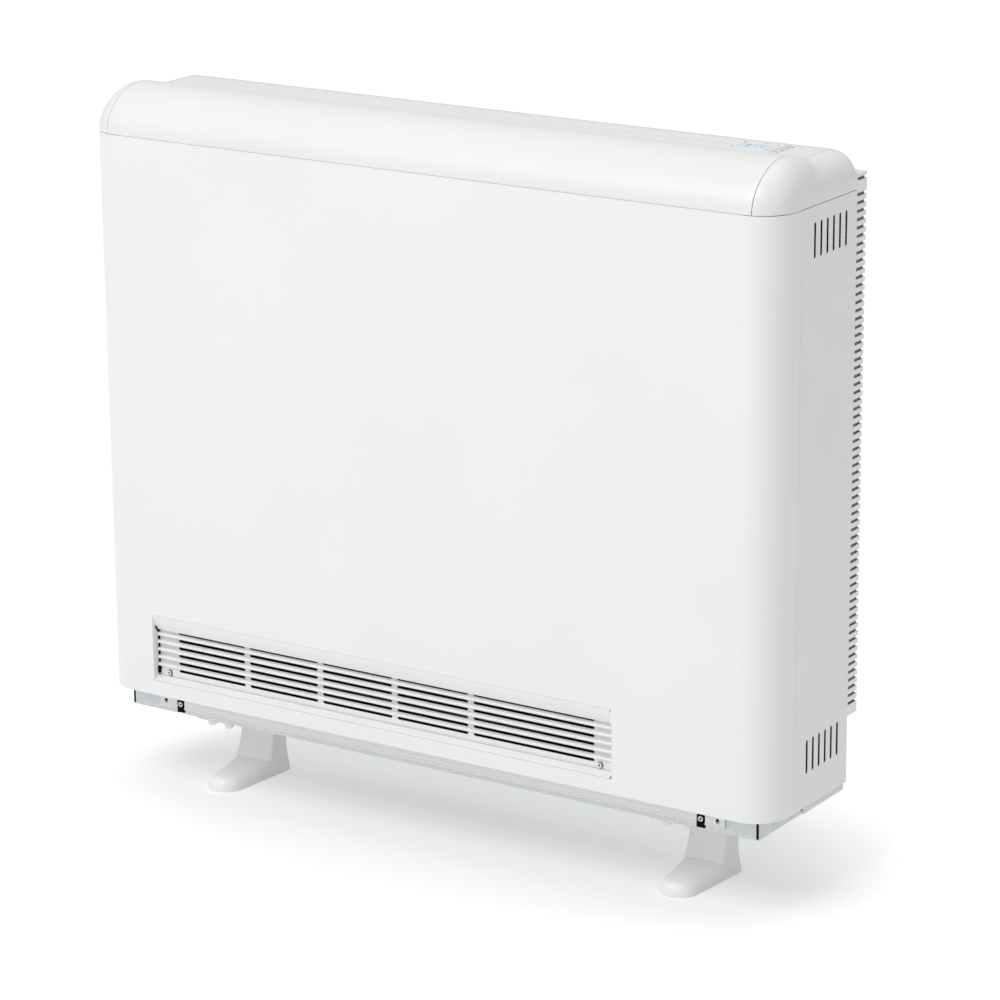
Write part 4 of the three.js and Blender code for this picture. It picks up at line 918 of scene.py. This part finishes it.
# Distance from the front face and height of the notch's corners, in millimetres
NOTCH_OUTLINE = [(3.4, 176.4), (8.4, 175.2), (8.4, 169.5), (6.2, 172)]
NOTCH_GAP = 0.05 * MM
NOTCH_THICKNESS = 0.5 * MM
TRAY_SHADE_REACH = 2.1 * MM  # inwards from the tray's side
TRAY_SHADE_PROUD = 0.1 * MM
TRAY_SHADE_DEPTHS = (-0.15 * MM, 0.9 * MM)  # from the tray's front
TRAY_SHADE_MARGINS = (1.4 * MM, 0.2 * MM)  # over the tray's base and under its top
SHADE_SHEET_INSET = 3.2 * MM  # the rear grille's side to the grey sheet of painted shade behind its louvres
SHADE_SHEET_THICKNESS = 0.8 * MM
SHADE_SHEET_MARGIN = 4 * MM
SHADE_SHEET_FRONT_MARGIN = 2 * MM
PAD_DEPTHS = (19.22 * MM, 19.44 * MM)  # from the front face
STRIP_SCREW = 310 * MM  # middle of the heater to the strip's screw
STRIP_HOLE = 328.6 * MM
STRIP_HOLE_HEIGHT = 91.5 * MM
# Left, right, base and top of each pad in millimetres: from the screw at the strip's lower edge
SCREW_PADS = [(-5.2, 4.4, -4.4, 0), (-4.6, 4.6, 0, 9.3)]
HOLE_PAD = (-3, 0.4, -0.9, 3)  # and from the hole's middle
BROW_GAP = 0.2 * MM
BROW_WIDTH = 2.4 * MM
BROW_DEPTHS = (1.5 * MM, 6 * MM)  # from the front face
BROW_HEIGHTS = (174 * MM, 188.6 * MM)
CASE_SHADE_WIDTH = 2 * MM
CASE_SHADE_GAP = 0.05 * MM
CASE_SHADE_LAP = 1.6 * MM  # how far the black strip covers the inner case's side
FLANGE_CLEARANCE = 1.2 * MM  # side panel's rear face to the black strip of painted shade
CASE_SHADE_DROPS = (570 * MM, 6 * MM)  # lid's base to the black strip's ends


# Black pieces of painted shade in gaps, slits and behind slots.
def shade_piece(made):
    return finish_piece(made, BODY, materials["shade_black"])


def shade_boxes(name, boxes):
    return joined_boxes(name, boxes, materials["shade_black"])


def side_box(side, inner, outer, depths, heights):
    """A box's low and high corners on one side, from its distances to the heater's middle."""
    left, right = sorted((side * inner, side * outer))
    return (left, depths[0], heights[0]), (right, depths[1], heights[1])


def parting_heights():
    return panel_high.z + PARTING_INSET, LID_BASE - PARTING_INSET


def side_gap_shade(side, name):
    """A dark strip of painted shade in the gap under the lid, along the side."""
    face = HALF - PARTING_DEPTH
    depths = (FRONT + SIDE_GAP_SHADE_START, DECK_REAR - SHADE_STRIP_THICKNESS)
    box = side_box(side, face - SHADE_STRIP_THICKNESS, face, depths, parting_heights())
    shade_boxes(f"parting_seal_{name}", [box])


# The same dark strip of painted shade in the gap under the lid, round the middle of the corner.
def corner_gap_shade(side, name):
    low, high = parting_heights()
    outer = CORNER_RADIUS - PARTING_DEPTH
    section = [(outer, low), (outer, high), (outer - SHADE_STRIP_THICKNESS, high), (outer - SHADE_STRIP_THICKNESS, low)]
    centre_x = HALF - CORNER_RADIUS
    centre_y = FRONT + CORNER_RADIUS
    rings = []
    steps = 12
    for i in range(steps + 1):
        angle = math.radians(CORNER_GAP_SHADE_START + CORNER_GAP_SHADE_SWEEP * i / steps)
        rings.append([(side * (centre_x + radius * math.cos(angle)),
                       centre_y - radius * math.sin(angle), z) for radius, z in section])
    shade_piece(rings_object(f"corner_gap_shade_{name}", rings))


def front_gap_shade():
    """A pale grey strip of painted shade in the gap under the lid, along the front."""
    reach = HALF - CORNER_RADIUS
    face = FRONT + PARTING_DEPTH
    low, high = parting_heights()
    boxes = [((-reach, face, low), (reach, face + SHADE_STRIP_THICKNESS, high))]
    joined_boxes("parting_seal_front", boxes, materials["shade_pale"])


def tray_slit_shade(side, name):
    """Fills the slit between the tray's front and its side with black, as painted shade."""
    low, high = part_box("base_tray")
    depths = [low.y + depth for depth in TRAY_SHADE_DEPTHS]
    heights = (low.z + TRAY_SHADE_MARGINS[0], high.z - TRAY_SHADE_MARGINS[1])
    box = side_box(side, high.x - TRAY_SHADE_REACH, high.x + TRAY_SHADE_PROUD, depths, heights)
    shade_boxes(f"tray_slit_shade_{name}", [box])


def rear_grille_shade_sheet(side, name):
    """A grey plate behind the louvres of the rear grille's side, standing as painted shade."""
    low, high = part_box("rear_grille")
    outer = high.x - SHADE_SHEET_INSET
    depths = (low.y + SHADE_SHEET_FRONT_MARGIN, high.y - SHADE_SHEET_MARGIN)
    heights = (low.z + SHADE_SHEET_MARGIN, high.z - SHADE_SHEET_MARGIN)
    box = side_box(side, outer - SHADE_SHEET_THICKNESS, outer, depths, heights)
    joined_boxes(f"rear_shade_sheet_{name}", [box], materials["shade_grey_sheet"])


def pad_box(x, z, edges):
    left, right, base, top = (edge * MM for edge in edges)
    front, rear = PAD_DEPTHS
    return (x + left, FRONT + front, z + base), (x + right, FRONT + rear, z + top)


def strip_shadow_pads(side, name):
    """Black pads behind the strip: under its screw and behind its round hole."""
    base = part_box("lower_cover_strip")[0].z
    boxes = [pad_box(side * STRIP_SCREW, base, edges) for edges in SCREW_PADS]
    boxes.append(pad_box(side * STRIP_HOLE, STRIP_HOLE_HEIGHT, HOLE_PAD))
    shade_boxes(f"strip_pads_{name}", boxes)


def case_corner_shade(side, name):
    """A black strip of painted shade in the corner between the inner case and the side panel's rear flange.
    """
    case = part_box("case_side_right")[1]
    panel_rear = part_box("side_panel_right")[1].y
    depths = (case.y - CASE_SHADE_LAP, panel_rear - FLANGE_CLEARANCE)
    heights = [LID_BASE - drop for drop in CASE_SHADE_DROPS]
    box = side_box(side, case.x + CASE_SHADE_GAP, case.x + CASE_SHADE_WIDTH, depths, heights)
    shade_boxes(f"case_corner_shade_{name}", [box])


def grille_end_shade():
    """Black painted shade that shows between the ridges at the grille's left end."""
    left = GRILLE_LEFT + GRILLE_SHADE_INSET
    front, rear = GRILLE_SHADE_DEPTHS
    low, high = GRILLE_SHADE_HEIGHTS
    boxes = [((left, FRONT + front, low), (left + GRILLE_SHADE_WIDTH, FRONT + rear, high))]
    shade_boxes("grille_end_shade", boxes)


def grille_end_dark_spot():
    """A rounded black spot of painted shade at the foot of the black strip at the grille's left end."""
    rings = []
    turns = 24
    levels = 16
    pole = 0.1  # of a level, by which the end rings stay off the poles
    for level in range(levels + 1):
        up = math.pi * (level + pole) / (levels + 2 * pole)
        z = SHADOW_SPOT_MIDDLE.z - SHADOW_SPOT_HALF.z * math.cos(up)
        ring = []
        for i in range(turns):
            angle = 2 * math.pi * i / turns
            ring.append((SHADOW_SPOT_MIDDLE.x + SHADOW_SPOT_HALF.x * math.sin(up) * math.cos(angle),
                         SHADOW_SPOT_MIDDLE.y + SHADOW_SPOT_HALF.y * math.sin(up) * math.sin(angle), z))
        rings.append(ring)
    shadow_blob = rings_object("grille_end_dark_spot", rings)
    smooth(shadow_blob, 60)
    shade_piece(shadow_blob)


def brow_notch_shade():
    """A black notch of painted shade under the brow's left corner."""
    wall = OUTLET_LEFT + NOTCH_GAP
    rings = [[(x, FRONT + y * MM, z * MM) for y, z in NOTCH_OUTLINE] for x in (wall, wall + NOTCH_THICKNESS)]
    shade_piece(rings_object("brow_notch_shade", rings))


def brow_corner():
    """The folded corner that closes the brow's right end."""
    right = OUTLET_RIGHT - BROW_GAP
    front, rear = BROW_DEPTHS
    low, high = BROW_HEIGHTS
    boxes = [((right - BROW_WIDTH, FRONT + front, low), (right, FRONT + rear, high))]
    joined_boxes("brow_corner", boxes, materials["white_paint"])


for side, name in ((-1, "left"), (1, "right")):
    side_gap_shade(side, name)
    corner_gap_shade(side, name)
    tray_slit_shade(side, name)
    rear_grille_shade_sheet(side, name)
    strip_shadow_pads(side, name)
    case_corner_shade(side, name)
front_gap_shade()
grille_end_shade()
grille_end_dark_spot()
brow_notch_shade()
brow_corner()

# ------------------------------------------------------------------ the other nodes

replaced = {"lid_cover", "lid_end_cap_left", "lid_end_cap_right", "foot_left", "foot_right"}
for node in frame["nodes"]:
    if node not in replaced:
        dress_node(node)

# ------------------------------------------------------------------ stage


def stage_material():
    """A white floor that shows as white and keeps the object's soft shadow, with a darker pool painted round
    the heater by the smaller lift there.
    """
    nodes = Nodes("stage_white")
    nodes.tree.nodes.remove(nodes.shader)
    rays = nodes.add("ShaderNodeLightPath").outputs
    seen = nodes.math("MAXIMUM", rays["Is Camera Ray"], rays["Is Glossy Ray"])
    seen = nodes.math("MAXIMUM", seen, rays["Is Transmission Ray"])
    ellipse = nodes.add("ShaderNodeMapping")
    ellipse.inputs["Scale"].default_value = (1 / LIFT_AXES[0], 1 / LIFT_AXES[1], 1)
    nodes.link(nodes.place, ellipse.inputs["Vector"])
    reach = nodes.add("ShaderNodeVectorMath", operation="LENGTH")
    nodes.link(ellipse.outputs["Vector"], reach.inputs[0])
    lift = nodes.ramp(reach.outputs["Value"], NEAR_LIFT, FAR_LIFT, LIFT_START, LIFT_END)
    glow = nodes.add("ShaderNodeEmission")
    glow.inputs["Color"].default_value = (1, 1, 1, 1)
    nodes.link(nodes.math("MULTIPLY", seen, lift), glow.inputs["Strength"])
    diffuse = nodes.add("ShaderNodeBsdfDiffuse")
    diffuse.inputs["Color"].default_value = (FLOOR_COLOUR, FLOOR_COLOUR, FLOOR_COLOUR, 1)
    total = nodes.add("ShaderNodeAddShader")
    nodes.link(diffuse.outputs["BSDF"], total.inputs[0])
    nodes.link(glow.outputs["Emission"], total.inputs[1])
    nodes.link(total.outputs["Shader"], nodes.tree.nodes["Material Output"].inputs["Surface"])
    return nodes.material


def make_stage():
    half = FLOOR_HALF
    corners = [(-half, -half, 0), (half, -half, 0), (half, half, 0), (-half, half, 0)]
    floor = new_object("floor", corners, [(0, 1, 2, 3)])
    floor.data.materials.append(stage_material())


def make_world():
    world = bpy.data.worlds.new("studio")
    bpy.context.scene.world = world
    world.use_nodes = True
    tree = world.node_tree
    tree.nodes.clear()
    out = tree.nodes.new("ShaderNodeOutputWorld")
    rays = tree.nodes.new("ShaderNodeLightPath")
    soft = tree.nodes.new("ShaderNodeBackground")
    soft.inputs["Strength"].default_value = WORLD_STRENGTH
    soft.inputs["Color"].default_value = (1, 1, 1, 1)
    white = tree.nodes.new("ShaderNodeBackground")
    white.inputs["Color"].default_value = (1, 1, 1, 1)
    white.inputs["Strength"].default_value = 1.0
    pick = tree.nodes.new("ShaderNodeMixShader")
    tree.links.new(rays.outputs["Is Camera Ray"], pick.inputs["Fac"])
    tree.links.new(soft.outputs[0], pick.inputs[1])
    tree.links.new(white.outputs[0], pick.inputs[2])
    tree.links.new(pick.outputs[0], out.inputs["Surface"])


def area_light(name, place, aim_height, size, power):
    data = bpy.data.lights.new(name, "AREA")
    data.shape = "SQUARE"
    data.size = size
    data.energy = power
    made = bpy.data.objects.new(name, data)
    bpy.context.scene.collection.objects.link(made)
    made.location = place
    made.rotation_mode = "QUATERNION"
    made.rotation_quaternion = (Vector((0, 0, aim_height)) - Vector(place)).to_track_quat("-Z", "Y")


def make_camera():
    data = bpy.data.cameras.new("camera")
    data.lens = CAMERA_LENS
    data.sensor_width = SENSOR
    data.sensor_fit = "HORIZONTAL"
    made = bpy.data.objects.new("camera", data)
    bpy.context.scene.collection.objects.link(made)
    azimuth = math.radians(CAMERA_AZIMUTH)
    elevation = math.radians(CAMERA_ELEVATION)
    back = Vector((math.sin(azimuth) * math.cos(elevation),
                   -math.cos(azimuth) * math.cos(elevation), math.sin(elevation)))
    turn = (-back).to_track_quat("-Z", "Y").to_matrix().to_4x4()
    roll = Matrix.Rotation(math.radians(-CAMERA_ROLL), 4, "Z")
    place = Matrix.Translation(CAMERA_TARGET + back * CAMERA_DISTANCE)
    made.matrix_world = place @ turn @ roll
    bpy.context.scene.camera = made


make_stage()
make_world()
for lamp, settings in LAMPS.items():
    area_light(lamp, *settings)
make_camera()
bpy.context.scene.view_settings.view_transform = "Standard"
